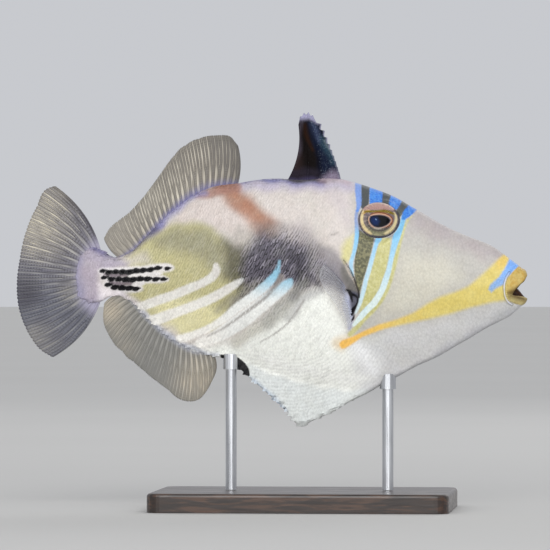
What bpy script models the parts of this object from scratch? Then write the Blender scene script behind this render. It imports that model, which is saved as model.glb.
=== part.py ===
# Picasso triggerfish, a life-size display model on a plain stand.
# Metres, +Z up. The fish swims towards +X and its right side faces -Y.
# The origin is on the floor, under the middle of the model.

import math

import bmesh
import bpy
import numpy as np
from mathutils import Vector

MM = 0.001
GAP = 0.3 * MM  # kept between parts that touch

# Side outline of the body, in mm: (along the fish, height above the floor).
BACK_LINE = [
    (-84.5, 100.4), (-83.6, 105.6), (-80.5, 110.4), (-75.0, 112.0), (-68.7, 107.8),
    (-61.0, 110.0), (-52.3, 118.6), (-43.7, 127.0), (-35.1, 133.5), (-26.5, 137.7),
    (-15.0, 139.6), (0.0, 141.6), (12.3, 141.1), (30.8, 141.3), (38.1, 139.2),
    (46.7, 136.3), (55.3, 132.4), (63.9, 127.3), (76.8, 120.1), (98.4, 110.2),
    (102.7, 106.9), (107.0, 103.4), (109.4, 101.4), (110.0, 99.8),
]
BELLY_LINE = [
    (-84.5, 98.4), (-83.6, 93.0), (-80.5, 89.4), (-75.0, 88.3), (-68.7, 91.2),
    (-61.0, 89.2), (-52.3, 80.4), (-43.7, 73.2), (-35.1, 68.4), (-26.0, 65.6),
    (-17.9, 63.2), (-9.3, 56.0), (0.4, 47.6), (6.4, 42.2), (8.6, 38.6),
    (11.0, 36.2), (14.0, 35.8), (18.0, 37.9), (25.0, 41.0), (34.0, 46.1),
    (42.5, 50.4), (55.3, 57.6), (76.8, 68.4), (89.8, 76.2), (98.4, 80.8),
    (102.7, 83.3), (107.0, 87.0), (109.3, 89.0), (110.0, 90.6),
]
# The fleshy belly, above the thin flap that hangs from it.
TRUNK_LINE = [
    (-26.0, 65.2), (-18.0, 65.0), (-9.3, 61.4), (3.7, 56.4), (13.6, 53.4), (25.0, 50.9),
    (34.7, 50.0), (46.0, 50.6),
]
# (along, widest half width, how high up the side the widest place is)
SECTIONS = [
    (-84.5, 1.5, 0.50), (-80.0, 2.1, 0.50), (-75.0, 2.9, 0.50), (-68.7, 3.8, 0.50),
    (-61.0, 4.9, 0.50), (-52.3, 6.5, 0.52), (-35.1, 10.2, 0.55), (-18.0, 13.8, 0.58),
    (0.0, 16.3, 0.60), (15.0, 17.3, 0.60), (30.0, 17.2, 0.60), (45.0, 15.8, 0.60),
    (60.0, 13.4, 0.58), (76.0, 10.7, 0.55), (90.0, 8.3, 0.52), (98.4, 6.9, 0.50),
    (103.0, 6.2, 0.50), (106.5, 5.2, 0.50), (108.8, 3.8, 0.50), (110.0, 1.6, 0.50),
]
BACK_FULLNESS = 2.2  # exponent of the rounded back
BELLY_TAPER = (1.7, 1.15)  # exponents of the wedge-shaped belly
FLAP_HALF = 1.3  # half thickness of the flap
KEEL_HALF = 2.0  # rounding under the chin and tail
POINTS_UP_A_SIDE = 15

# Closer sections for the snout's tip.
SNOUT_STATIONS = [94.0, 97.0, 99.5, 101.5, 103.2, 104.8, 106.2, 107.4, 108.4, 109.2, 109.7, 110.0]

# Parting cuts, each a line in side view; a gap is left along each.
HEAD_CUT = ((32.0, 141.0), (45.8, 50.0))
TAIL_CUT = ((-54.9, 120.0), (-54.9, 70.0))
FLAP_CUT = ((-22.6, 65.9), (43.3, 50.8))
LIP_CREASE = (111.3, 96.4, 11.2)  # centre and radius of the crease behind the lips

# Eye
EYE_PLACE = (47.1, 123.7)
EYEBALL = (7.7, 6.9, 3.7)  # half length, half height, half depth
ORBIT_RIM = (8.4, 7.6, 1.1)  # half length, half height, thickness radius
EYE_SUNK = 1.0  # how far the eyeball's middle is under the skin
NOSTRILS = [(58.7, 126.0), (60.8, 125.0)]
NOSTRIL_RADIUS = 0.55

# Gape of the mouth in side view, and the hollow behind it.
GAPE = [(103.3, 93.7), (103.6, 92.5), (104.8, 91.8), (106.6, 91.6), (108.6, 91.7), (113.0, 90.4),
        (113.0, 101.8), (110.0, 99.0), (107.2, 96.9), (104.8, 95.1)]
MOUTH_HOLLOW = (105.6, 94.1, 4.0, 3.1, 3.3)  # centre along and up, then half sizes

# Gill slit and the rows of tail spines.
GILL_SLIT = [(32.0, 106.4), (33.8, 103.9), (35.7, 99.9), (37.2, 95.2), (38.1, 91.4)]
GILL_SLIT_WIDTH = 0.9
GILL_SLIT_DEPTH = 1.6
SPINE_ROWS = [((-72.1, 102.2), 8, 0.10), ((-72.1, 99.2), 7, -0.02), ((-70.4, 96.4), 4, -0.07)]
SPINE_STEP = 3.83
SPINE_SIZE = (0.85, 1.5)  # base radius, height
SPINE_LEAN = 0.7  # forward lean, as a share of the height

# Fins
MEMBRANE_HALF = 0.27  # half thickness of the web between the rays
FIN_CREASE = 12  # bends above this angle, in degrees, show as the edges of rays

# Stand
BASE_SIZE = (128.0, 80.0, 8.0)
BASE_CORNER = 6.0
BASE_BEVEL = 1.4
BASE_MIDDLE = 14.0  # along the fish
ROD_RADIUS = 2.4
ROD_PLACES = {"front": (50.0, 58.0), "rear": (-17.4, 66.4)}  # along, height of the cradle's top
CRADLE = (3.5, 6.5)  # radius, height

COLOURS = {
    "skin": (0.80, 0.77, 0.70),
    "snout": (0.74, 0.72, 0.66),
    "lip": (0.78, 0.66, 0.30),
    "tail": (0.66, 0.64, 0.52),
    "belly": (0.86, 0.88, 0.84),
    "fin": (0.52, 0.51, 0.47),
    "spiny": (0.20, 0.17, 0.19),
    "pectoral": (0.62, 0.62, 0.64),
    "eye": (0.04, 0.05, 0.10),
    "base": (0.05, 0.05, 0.055),
    "rod": (0.62, 0.62, 0.64),
}


def curve_through(knots, values):
    """A smooth curve through a few values, each at its knot."""
    knots = np.array(knots, float)
    values = np.array(values, float)
    slopes = np.gradient(values, knots, axis=0)

    def at(x):
        x = np.clip(x, knots[0], knots[-1])
        i = int(np.clip(np.searchsorted(knots, x, side="right") - 1, 0, len(knots) - 2))
        span = knots[i + 1] - knots[i]
        u = (x - knots[i]) / span
        return (
            values[i] * (1 + 2 * u) * (1 - u) ** 2
            + values[i + 1] * u * u * (3 - 2 * u)
            + slopes[i] * span * u * (1 - u) ** 2
            - slopes[i + 1] * span * u * u * (1 - u)
        )

    return at


def profile(points):
    return curve_through([p[0] for p in points], [p[1:] if len(p) > 2 else p[1] for p in points])


def path_through(points):
    """The same for a path: a share from 0 to 1 of the way along gives the place."""
    points = np.array(points, float)
    steps = np.hypot(*np.diff(points, axis=0).T)
    knots = np.concatenate([[0], np.cumsum(steps)]) / steps.sum()
    return curve_through(knots, points)


back_at = profile(BACK_LINE)
belly_at = profile(BELLY_LINE)
trunk_at = profile(TRUNK_LINE)
section_at = profile(SECTIONS)


def flap_depth(x):
    """How far the flap hangs below the fleshy belly, in mm."""
    if not TRUNK_LINE[0][0] < x < TRUNK_LINE[-1][0]:
        return 0.0
    return max(0.0, float(trunk_at(x) - belly_at(x)))


def half_width(x, z):
    """Half width of the body in mm at a place in side view, 0 outside the outline."""
    low, high = float(belly_at(x)), float(back_at(x))
    if not low < z < high:
        return 0.0
    widest, share = section_at(x)
    hang = flap_depth(x)
    trunk = low + hang
    waist = trunk + share * (high - trunk)
    if z >= waist:
        r = (z - waist) / (high - waist)
        flesh = widest * (1 - r**BACK_FULLNESS) ** (1 / BACK_FULLNESS)
    else:
        r = min(1.0, (waist - z) / (waist - trunk))
        flesh = widest * (1 - r ** BELLY_TAPER[0]) ** (1 / BELLY_TAPER[1])
    thin = min(1.0, hang / 4)
    rim = min(widest, KEEL_HALF + (FLAP_HALF - KEEL_HALF) * thin)
    h = min(1.0, (z - low) / rim)
    edge = rim * math.sqrt(max(0.0, 1 - (1 - h) ** 2))
    return (flesh**3 + edge**3) ** (1 / 3)


def stations():
    """Where the body's sections are: close together where the outline turns."""
    return np.concatenate([
        [-84.5, -84.0, -82.6, -80.4],
        np.linspace(-77.5, -59.0, 6),
        np.linspace(-54.5, 3.5, 12),
        [6.4, 8.2, 10.0, 12.0, 14.4, 17.0, 20.0],
        np.linspace(24.0, 98.0, 16),
        [101.5, 104.5, 107.0, 108.8, 110.0],
    ])


def material(name):
    found = bpy.data.materials.get(name)
    if found:
        return found
    made = bpy.data.materials.new(name)
    made.use_nodes = True
    shader = made.node_tree.nodes["Principled BSDF"]
    shader.inputs["Base Color"].default_value = (*COLOURS[name], 1)
    shader.inputs["Roughness"].default_value = 0.3 if name in ("eye", "rod", "base") else 0.5
    shader.inputs["Metallic"].default_value = 1.0 if name == "rod" else 0.0
    return made


def new_object(name, bm, colour, crease=35):
    """Keeps edges that bend by more than the crease angle sharp."""
    bm.normal_update()
    bmesh.ops.recalc_face_normals(bm, faces=bm.faces)
    mesh = bpy.data.meshes.new(name)
    bm.to_mesh(mesh)
    bm.free()
    mesh.shade_smooth()
    mesh.set_sharp_from_angle(angle=math.radians(crease))
    mesh.materials.append(material(colour))
    obj = bpy.data.objects.new(name, mesh)
    bpy.context.scene.collection.objects.link(obj)
    return obj


def loft(rings):
    """A closed skin over rings of points, with a flat cap on each end."""
    bm = bmesh.new()
    rows = [[bm.verts.new(p) for p in ring] for ring in rings]
    count = len(rows[0])
    for a, b in zip(rows, rows[1:]):
        for i in range(count):
            j = (i + 1) % count
            bm.faces.new((a[i], a[j], b[j], b[i]))
    bm.faces.new(rows[0])
    bm.faces.new(rows[-1])
    return bm


def body_ring(x):
    low, high = float(belly_at(x)), float(back_at(x))
    n = POINTS_UP_A_SIDE
    heights = [low + (high - low) * (1 - math.cos(math.pi * i / n)) / 2 for i in range(n + 1)]
    right = [Vector((x, -half_width(x, z), z)) * MM for z in heights]
    left = [Vector((x, half_width(x, z), z)) * MM for z in heights[n - 1:0:-1]]
    return right + left


def whole_body(name, places, grow=0.0):
    """The body as one solid through sections at some places; grow moves its skin outwards."""
    bm = loft([body_ring(x) for x in places])
    bmesh.ops.recalc_face_normals(bm, faces=bm.faces)
    if grow:
        bm.normal_update()
        moves = [(v, v.normal * grow) for v in bm.verts]
        for v, move in moves:
            v.co += move
    return new_object(name, bm, "skin")


def cut_by_line(obj, line, keep_ahead):
    """Cuts off what is behind a line in side view, or ahead of it, half a gap away from it."""
    a, b = (Vector((x, 0, z)) * MM for x, z in line)
    along = (b - a).normalized()
    ahead = Vector((-along.z, 0, along.x))
    if ahead.x < 0 or (abs(ahead.x) < 0.5 and ahead.z < 0):
        ahead = -ahead
    side = ahead if keep_ahead else -ahead
    bm = bmesh.new()
    bm.from_mesh(obj.data)
    geometry = list(bm.verts) + list(bm.edges) + list(bm.faces)
    bmesh.ops.bisect_plane(
        bm, geom=geometry, plane_co=a + side * GAP / 2, plane_no=side, clear_inner=True, dist=1e-7
    )
    rim = [e for e in bm.edges if e.is_boundary]
    bmesh.ops.triangle_fill(bm, edges=rim, use_beauty=True)
    bmesh.ops.recalc_face_normals(bm, faces=bm.faces)
    bm.to_mesh(obj.data)
    bm.free()
    return obj


def copy_of(obj, name):
    made = bpy.data.objects.new(name, obj.data.copy())
    bpy.context.scene.collection.objects.link(made)
    return made


def remove(obj):
    bpy.data.objects.remove(obj, do_unlink=True)


def keep_largest(obj):
    """Keeps only the largest closed surface of a mesh."""
    bm = bmesh.new()
    bm.from_mesh(obj.data)
    bm.faces.ensure_lookup_table()
    seen = set()
    shells = []
    for start in bm.faces:
        if start in seen:
            continue
        shell = []
        waiting = [start]
        seen.add(start)
        while waiting:
            face = waiting.pop()
            shell.append(face)
            for edge in face.edges:
                for other in edge.link_faces:
                    if other not in seen:
                        seen.add(other)
                        waiting.append(other)
        shells.append(shell)
    largest = max(shells, key=lambda s: sum(f.calc_area() for f in s))
    loose = [f for s in shells if s is not largest for f in s]
    bmesh.ops.delete(bm, geom=loose, context="FACES")
    bm.to_mesh(obj.data)
    bm.free()


def combine(obj, operation, others, remove_others=True, crease=35):
    """One applied Boolean of an object with a collection of closed meshes."""
    group = bpy.data.collections.new(obj.name + "_pieces")
    bpy.context.scene.collection.children.link(group)
    for other in others:
        group.objects.link(other)
    modifier = obj.modifiers.new("combine", "BOOLEAN")
    modifier.operation = operation
    modifier.operand_type = "COLLECTION"
    modifier.collection = group
    modifier.solver = "EXACT"
    graph = bpy.context.evaluated_depsgraph_get()
    mesh = bpy.data.meshes.new_from_object(obj.evaluated_get(graph))
    obj.modifiers.clear()
    obj.data = mesh
    for other in list(group.objects):
        group.objects.unlink(other)
        if remove_others:
            remove(other)
    bpy.data.collections.remove(group)
    keep_largest(obj)
    obj.data.set_sharp_from_angle(angle=math.radians(crease))
    return obj


def side_frame(x, z, side):
    """On the skin at a place in side view: the place, and the outward, forward and upward ways."""
    w = half_width(x, z)
    step = 0.5
    dx = (half_width(x + step, z) - half_width(x - step, z)) / (2 * step)
    dz = (half_width(x, z + step) - half_width(x, z - step)) / (2 * step)
    out = Vector((-dx, side, -dz)).normalized()
    forward = Vector((1, side * dx, 0)).normalized()
    up = out.cross(forward) * -side
    return Vector((x, side * w, z)) * MM, out, forward, up


def ellipsoid(name, centre, axes, sizes, colour, segments=18, rings=10):
    bm = bmesh.new()
    bmesh.ops.create_uvsphere(bm, u_segments=segments, v_segments=rings, radius=1.0)
    for v in bm.verts:
        v.co = centre + sum((a * (s * MM * c) for a, s, c in zip(axes, sizes, v.co)), Vector())
    return new_object(name, bm, colour)


def tube_ring(name, centre, axes, sizes, radius, colour, turns=26, sides=6):
    """An oval ring lying in the first two of the axes."""
    rings = []
    for i in range(turns):
        a = 2 * math.pi * i / turns
        spoke = axes[0] * (math.cos(a) * sizes[0]) + axes[1] * (math.sin(a) * sizes[1])
        outward = spoke.normalized()
        rings.append([
            centre + (spoke + (outward * math.cos(b) + axes[2] * math.sin(b)) * radius) * MM
            for b in (2 * math.pi * j / sides for j in range(sides))
        ])
    bm = bmesh.new()
    rows = [[bm.verts.new(p) for p in ring] for ring in rings]
    for a, b in zip(rows, rows[1:] + rows[:1]):
        for i in range(sides):
            j = (i + 1) % sides
            bm.faces.new((a[i], a[j], b[j], b[i]))
    return new_object(name, bm, colour)


def column(name, low, high, radius, colour, sides=24, tip=None):
    """A round column or cone between two points."""
    axis = high - low
    bm = bmesh.new()
    bmesh.ops.create_cone(
        bm, cap_ends=True, segments=sides, radius1=radius, radius2=radius if tip is None else tip,
        depth=axis.length,
    )
    turn = axis.to_track_quat("Z", "Y")
    for v in bm.verts:
        v.co = (low + high) / 2 + turn @ v.co
    return new_object(name, bm, colour)


def notch(name, outline, half_depth):
    """A cutter with a side-view outline, right through the fish."""
    bm = bmesh.new()
    near = [bm.verts.new(Vector((x, -half_depth, z)) * MM) for x, z in outline]
    far = [bm.verts.new(Vector((x, half_depth, z)) * MM) for x, z in outline]
    bm.faces.new(near)
    bm.faces.new(far)
    for i in range(len(near)):
        j = (i + 1) % len(near)
        bm.faces.new((near[i], near[j], far[j], far[i]))
    return new_object(name, bm, "skin")


def fin_sheet(name, colour, place, columns, rows, half_thickness, middle):
    """A closed sheet with rays raised in its own surface.

    place(t, v) is a point in side view, middle(t, v, x, z) its middle plane, and
    half_thickness(column, v) half its thickness, all in mm.
    """
    bm = bmesh.new()
    faces = {-1: [], 1: []}
    for side in (-1, 1):
        for c in range(columns + 1):
            line = []
            for r in range(rows + 1):
                t, v = c / columns, r / rows
                x, z = place(t, v)
                y = middle(t, v, x, z) + side * half_thickness(c, v)
                line.append(bm.verts.new(Vector((x, y, z)) * MM))
            faces[side].append(line)
    for side in (-1, 1):
        grid = faces[side]
        for c in range(columns):
            for r in range(rows):
                a, b, d, e = grid[c][r], grid[c + 1][r], grid[c + 1][r + 1], grid[c][r + 1]
                bm.faces.new((a, b, d))
                bm.faces.new((a, d, e))
    rim = [(c, 0) for c in range(columns)]
    rim += [(columns, r) for r in range(rows)]
    rim += [(c, rows) for c in range(columns, 0, -1)]
    rim += [(0, r) for r in range(rows, 0, -1)]
    for (c, r), (d, s) in zip(rim, rim[1:] + rim[:1]):
        near, far = faces[-1], faces[1]
        bm.faces.new((near[c][r], near[d][s], far[d][s]))
        bm.faces.new((near[c][r], far[d][s], far[c][r]))
    return new_object(name, bm, colour, crease=FIN_CREASE)


def fan(root, margin, bulge):
    """Rays from a root line to a margin line; bulge(t) bends them sideways, in mm."""
    root_at, margin_at = path_through(root), path_through(margin)

    def place(t, v):
        a, b = root_at(t), margin_at(t)
        chord = b - a
        side = np.array([chord[1], -chord[0]]) / np.hypot(*chord)
        control = (a + b) / 2 + side * 2 * bulge(t)
        return a * (1 - v) ** 2 + control * 2 * v * (1 - v) + b * v * v

    return place


def rayed(root_half, margin_half):
    """Half thickness of a fin whose odd columns are rays."""

    def half(c, v):
        ray = root_half + (margin_half - root_half) * v
        return ray if c % 2 else MEMBRANE_HALF + (ray - MEMBRANE_HALF) * (1 - v) ** 6

    return half


def forked(root_half, margin_half):
    """Half thickness where each ray, four columns wide, parts in two towards the margin."""

    def half(c, v):
        ray = root_half + (margin_half - root_half) * v
        between = c % 4 == 0
        split = c % 4 == 2 and v > 0.4
        return MEMBRANE_HALF + (ray - MEMBRANE_HALF) * (1 - v) ** 6 if between or split else ray

    return half


def make_head(body):
    """The head with its orbits, nostrils and lip crease, and the two eyes."""
    head = cut_by_line(copy_of(body, "head"), HEAD_CUT, keep_ahead=True)
    rims, sockets = [], []
    for side, word in ((-1, "right"), (1, "left")):
        centre, out, forward, up = side_frame(*EYE_PLACE, side)
        axes = (forward, up, out)
        seat = centre - out * 0.5 * MM
        rims.append(tube_ring(word + "_rim", seat, axes, ORBIT_RIM[:2], ORBIT_RIM[2], "snout"))
        centre = centre - out * EYE_SUNK * MM
        grown = [s + GAP / MM for s in EYEBALL]
        sockets.append(ellipsoid(word + "_socket", centre, axes, grown, "eye"))
        for i, (x, z) in enumerate(NOSTRILS):
            place, way, _, _ = side_frame(x, z, side)
            sockets.append(column(
                f"{word}_nostril{i}", place - way * 1.3 * MM, place + way * MM,
                NOSTRIL_RADIUS * MM, "eye", sides=8,
            ))
        ellipsoid("eye_" + word, centre, axes, EYEBALL, "eye")
    combine(head, "UNION", rims)
    x, z, radius = LIP_CREASE
    near, far = Vector((x, -12, z)) * MM, Vector((x, 12, z)) * MM
    lip_line = column("lip_line", near, far, radius * MM + GAP / 2, "lip", sides=48)
    combine(head, "DIFFERENCE", sockets + [lip_line])


def make_lips():
    lips = whole_body("lips", SNOUT_STATIONS)
    x, z, radius = LIP_CREASE
    near, far = Vector((x, -12, z)) * MM, Vector((x, 12, z)) * MM
    inside = column("lip_area", near, far, radius * MM - GAP / 2, "lip", sides=48)
    combine(lips, "INTERSECT", [inside])
    x, z, *sizes = MOUTH_HOLLOW
    axes = (Vector((1, 0, 0)), Vector((0, 1, 0)), Vector((0, 0, 1)))
    hollow = ellipsoid("hollow", Vector((x, 0, z)) * MM, axes, sizes, "lip", segments=16, rings=10)
    combine(lips, "DIFFERENCE", [notch("gape", GAPE, 12)])
    combine(lips, "DIFFERENCE", [hollow])


def tail_spines(wanted):
    """Forward-leaning cones in rows on both sides; wanted(x) picks those of a node."""
    cones = []
    radius, height = SPINE_SIZE
    for row, ((x0, z0), count, slope) in enumerate(SPINE_ROWS):
        for i in range(count):
            x, z = x0 + i * SPINE_STEP, z0 + i * SPINE_STEP * slope
            if not wanted(x):
                continue
            for side in (-1, 1):
                place, out, forward, _ = side_frame(x, z, side)
                lean = (out + forward * SPINE_LEAN).normalized()
                cones.append(column(
                    f"spine{row}_{i}_{side}", place - out * 0.9 * MM, place + lean * height * MM,
                    radius * MM, "tail", sides=5, tip=0.12 * MM,
                ))
    return cones


def gill_slits():
    half = GILL_SLIT_WIDTH / 2
    corners = ((-half, -GILL_SLIT_DEPTH), (half, -GILL_SLIT_DEPTH), (half, 2), (-half, 2))
    cutters = []
    for side in (-1, 1):
        slabs = []
        for x, z in GILL_SLIT:
            place, out, forward, _ = side_frame(x, z, side)
            slabs.append([place + (forward * a + out * b) * MM for a, b in corners])
        cutters.append(new_object(f"slit{side}", loft(slabs), "skin"))
    return cutters


def make_trunk(body):
    """The trunk behind the head, parted from the belly flap."""
    rear = cut_by_line(copy_of(body, "rear"), HEAD_CUT, keep_ahead=False)
    flap = cut_by_line(copy_of(rear, "ventral_flap"), FLAP_CUT, keep_ahead=False)
    keep_largest(flap)
    rear = cut_by_line(rear, FLAP_CUT, keep_ahead=True)
    keep_largest(rear)
    return rear


def sway(size, turns, start):
    """A gentle wave across a fin, growing towards its margin."""

    def middle(t, v, x, z):
        return size * v**1.5 * math.sin(2 * math.pi * (turns * t + start))

    return middle


def make_soft_dorsal():
    root = [
        (-15.5, 136.0), (-26.0, 134.4), (-35.5, 130.2), (-44.0, 123.6), (-53.0, 114.4), (-59.0, 108.4),
        (-63.5, 106.2),
    ]
    margin = [
        (-14.4, 155.6), (-17.5, 159.6), (-25.0, 160.4), (-33.5, 158.4), (-41.5, 152.0),
        (-48.5, 143.0), (-55.5, 133.8), (-63.0, 126.0), (-70.0, 120.4), (-72.3, 116.0),
    ]
    place = fan(root, margin, lambda t: 1.6 - 3.0 * t)
    return fin_sheet("soft_dorsal_fin", "fin", place, 50, 5, rayed(0.9, 0.45), sway(1.6, 1.5, 0.1))


def make_anal_fin():
    root = [(-25.5, 67.6), (-34.5, 70.4), (-43.5, 75.4), (-52.0, 83.0), (-58.5, 90.0), (-63.5, 92.6)]
    margin = [
        (-24.6, 57.0), (-28.0, 50.6), (-31.8, 46.4), (-37.5, 46.2), (-46.5, 52.4),
        (-55.0, 59.0), (-63.0, 65.6), (-69.0, 72.0), (-72.6, 80.0), (-72.2, 88.0),
    ]
    place = fan(root, margin, lambda t: -1.4 + 2.6 * t)
    return fin_sheet("anal_fin", "fin", place, 46, 5, rayed(0.9, 0.45), sway(1.3, 1.3, 0.35))


def make_caudal_fin():
    root = [(-73.5, 110.4), (-77.6, 106.2), (-79.4, 100.2), (-77.6, 94.2), (-73.5, 89.8)]
    margin = [
        (-93.4, 138.6), (-96.8, 137.4), (-102.6, 128.4), (-106.6, 117.6), (-109.2, 104.6),
        (-110.0, 93.6), (-108.6, 84.0), (-104.8, 74.6), (-99.6, 68.0), (-94.6, 64.8),
    ]
    place = fan(root, margin, lambda t: 3.2 * (1 - 2 * t))
    return fin_sheet("caudal_fin", "fin", place, 48, 6, forked(1.0, 0.45), sway(1.0, 1.0, 0.0))


def make_spiny_dorsal():
    """The locking first spine along the front edge, then the web with two small spines in it."""
    root = [(30.6, 138.2), (22.0, 137.8), (13.0, 137.6), (5.2, 138.4)]
    margin = [(18.4, 167.2), (15.8, 169.4), (13.0, 168.8), (11.6, 164.4)]
    place = fan(root, margin, lambda t: 1.3 + 1.3 * t)
    rough_teeth = 0.35

    def edge(t, v):
        x, z = place(t, v)
        tooth = rough_teeth if round(v * 14) % 2 and t < 0.01 and v > 0.2 else 0.0
        return x + tooth, z

    def half(c, v):
        t = c / 18
        spine = 2.4 - 1.2 * v
        if t <= 0.4:
            return max(0.4, spine * math.sqrt(max(0.0, 1 - ((t - 0.17) / 0.235) ** 2)))
        second = 0.7 * (1 - v / 0.7) if c == 11 else 0
        third = 0.5 * (1 - v / 0.4) if c == 15 else 0
        return 0.34 + max(0.0, second, third)

    return fin_sheet("spiny_dorsal_fin", "spiny", edge, 18, 14, half, lambda t, v, x, z: 0.0)


def make_pectoral_fin(side, word):
    root = [(34.2, 93.6), (35.0, 90.2), (35.5, 86.4), (35.5, 82.0)]
    margin = [
        (24.2, 105.4), (22.2, 102.0), (22.4, 98.2), (24.8, 93.6), (27.6, 90.0), (30.0, 86.2),
        (31.8, 82.0), (33.0, 78.8), (34.6, 77.8),
    ]
    place = fan(root, margin, lambda t: 0.7 - 0.9 * t)

    def middle(t, v, x, z):
        return side * (half_width(x, z) - 1.6 + 5.0 * v**0.8)

    return fin_sheet("pectoral_fin_" + word, "pectoral", place, 26, 5, rayed(0.75, 0.42), middle)


def round_edges(bm, edges, radius, segments):
    bmesh.ops.bevel(
        bm, geom=edges, offset=radius, segments=segments, profile=0.5, affect="EDGES", material=-1
    )


def make_stand(clearance):
    length, width, height = (s * MM for s in BASE_SIZE)
    bm = bmesh.new()
    bmesh.ops.create_cube(bm, size=1.0)
    for v in bm.verts:
        v.co = Vector((v.co.x * length + BASE_MIDDLE * MM, v.co.y * width, (v.co.z + 0.5) * height))
    corners = [e for e in bm.edges if abs(e.verts[0].co.z - e.verts[1].co.z) > height / 2]
    round_edges(bm, corners, BASE_CORNER * MM, 6)
    top = max(bm.faces, key=lambda f: f.calc_center_median().z)
    round_edges(bm, list(top.edges), BASE_BEVEL * MM, 3)
    new_object("stand_base", bm, "base")
    for word, (x, top) in ROD_PLACES.items():
        foot = Vector((x * MM, 0, height + GAP))
        head = Vector((x, 0, top)) * MM
        rod_top = head - Vector((0, 0, MM))
        rod = column("stand_rod_" + word, foot, rod_top, ROD_RADIUS * MM, "rod", sides=20)
        cradle_foot = head - Vector((0, 0, CRADLE[1] * MM))
        cradle = column("cradle_" + word, cradle_foot, head, CRADLE[0] * MM, "rod", sides=20)
        combine(rod, "UNION", [cradle])
        combine(rod, "DIFFERENCE", [clearance], remove_others=False)


def main():
    for obj in list(bpy.data.objects):
        bpy.data.objects.remove(obj, do_unlink=True)
    body = whole_body("whole_body", stations())
    clearance = whole_body("clearance", stations(), grow=GAP)
    make_head(body)
    make_lips()
    rear = make_trunk(body)
    tail = cut_by_line(copy_of(rear, "tail_stalk"), TAIL_CUT, keep_ahead=False)
    torso = cut_by_line(copy_of(rear, "torso"), TAIL_CUT, keep_ahead=True)
    remove(rear)
    cut_at = TAIL_CUT[0][0]
    combine(tail, "UNION", tail_spines(lambda x: x < cut_at))
    combine(torso, "UNION", tail_spines(lambda x: x > cut_at))
    combine(torso, "DIFFERENCE", gill_slits())
    fins = [
        make_soft_dorsal(), make_anal_fin(), make_caudal_fin(), make_spiny_dorsal(),
        make_pectoral_fin(-1, "right"), make_pectoral_fin(1, "left"),
    ]
    for fin in fins:
        combine(fin, "DIFFERENCE", [clearance], remove_others=False, crease=FIN_CREASE)
    make_stand(clearance)
    remove(body)
    remove(clearance)


main()
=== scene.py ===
import math

import bmesh
import bpy
import numpy as np
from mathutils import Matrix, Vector


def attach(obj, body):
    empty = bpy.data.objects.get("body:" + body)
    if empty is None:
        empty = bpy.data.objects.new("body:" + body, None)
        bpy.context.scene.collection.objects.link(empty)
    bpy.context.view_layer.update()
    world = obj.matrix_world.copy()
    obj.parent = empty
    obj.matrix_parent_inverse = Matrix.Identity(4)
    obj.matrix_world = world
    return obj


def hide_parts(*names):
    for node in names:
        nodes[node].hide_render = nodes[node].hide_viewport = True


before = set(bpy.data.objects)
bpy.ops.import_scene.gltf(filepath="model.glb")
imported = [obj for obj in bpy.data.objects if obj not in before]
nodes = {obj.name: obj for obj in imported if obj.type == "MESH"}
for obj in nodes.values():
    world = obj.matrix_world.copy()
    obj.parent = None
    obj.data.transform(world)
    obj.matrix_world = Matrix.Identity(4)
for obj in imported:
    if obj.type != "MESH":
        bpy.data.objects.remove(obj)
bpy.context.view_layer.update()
bpy.context.scene.view_settings.view_transform = "Standard"
print("frame loaded:", len(nodes), "nodes")

mm = 0.001

# where the photograph was taken from, and how its pixels lie on the fish's middle plane
shot = {
    "azimuth": 5.0,         # degrees round from the fish's right side towards its snout
    "distance": 2200.0,     # mm
    "mmPerPixel": 0.4305,
    "middleColumn": 271.5,  # pixel column of x = 0
    "floorRow": 508.0,      # pixel row of z = 0
    "frameSize": 550,
}

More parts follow.
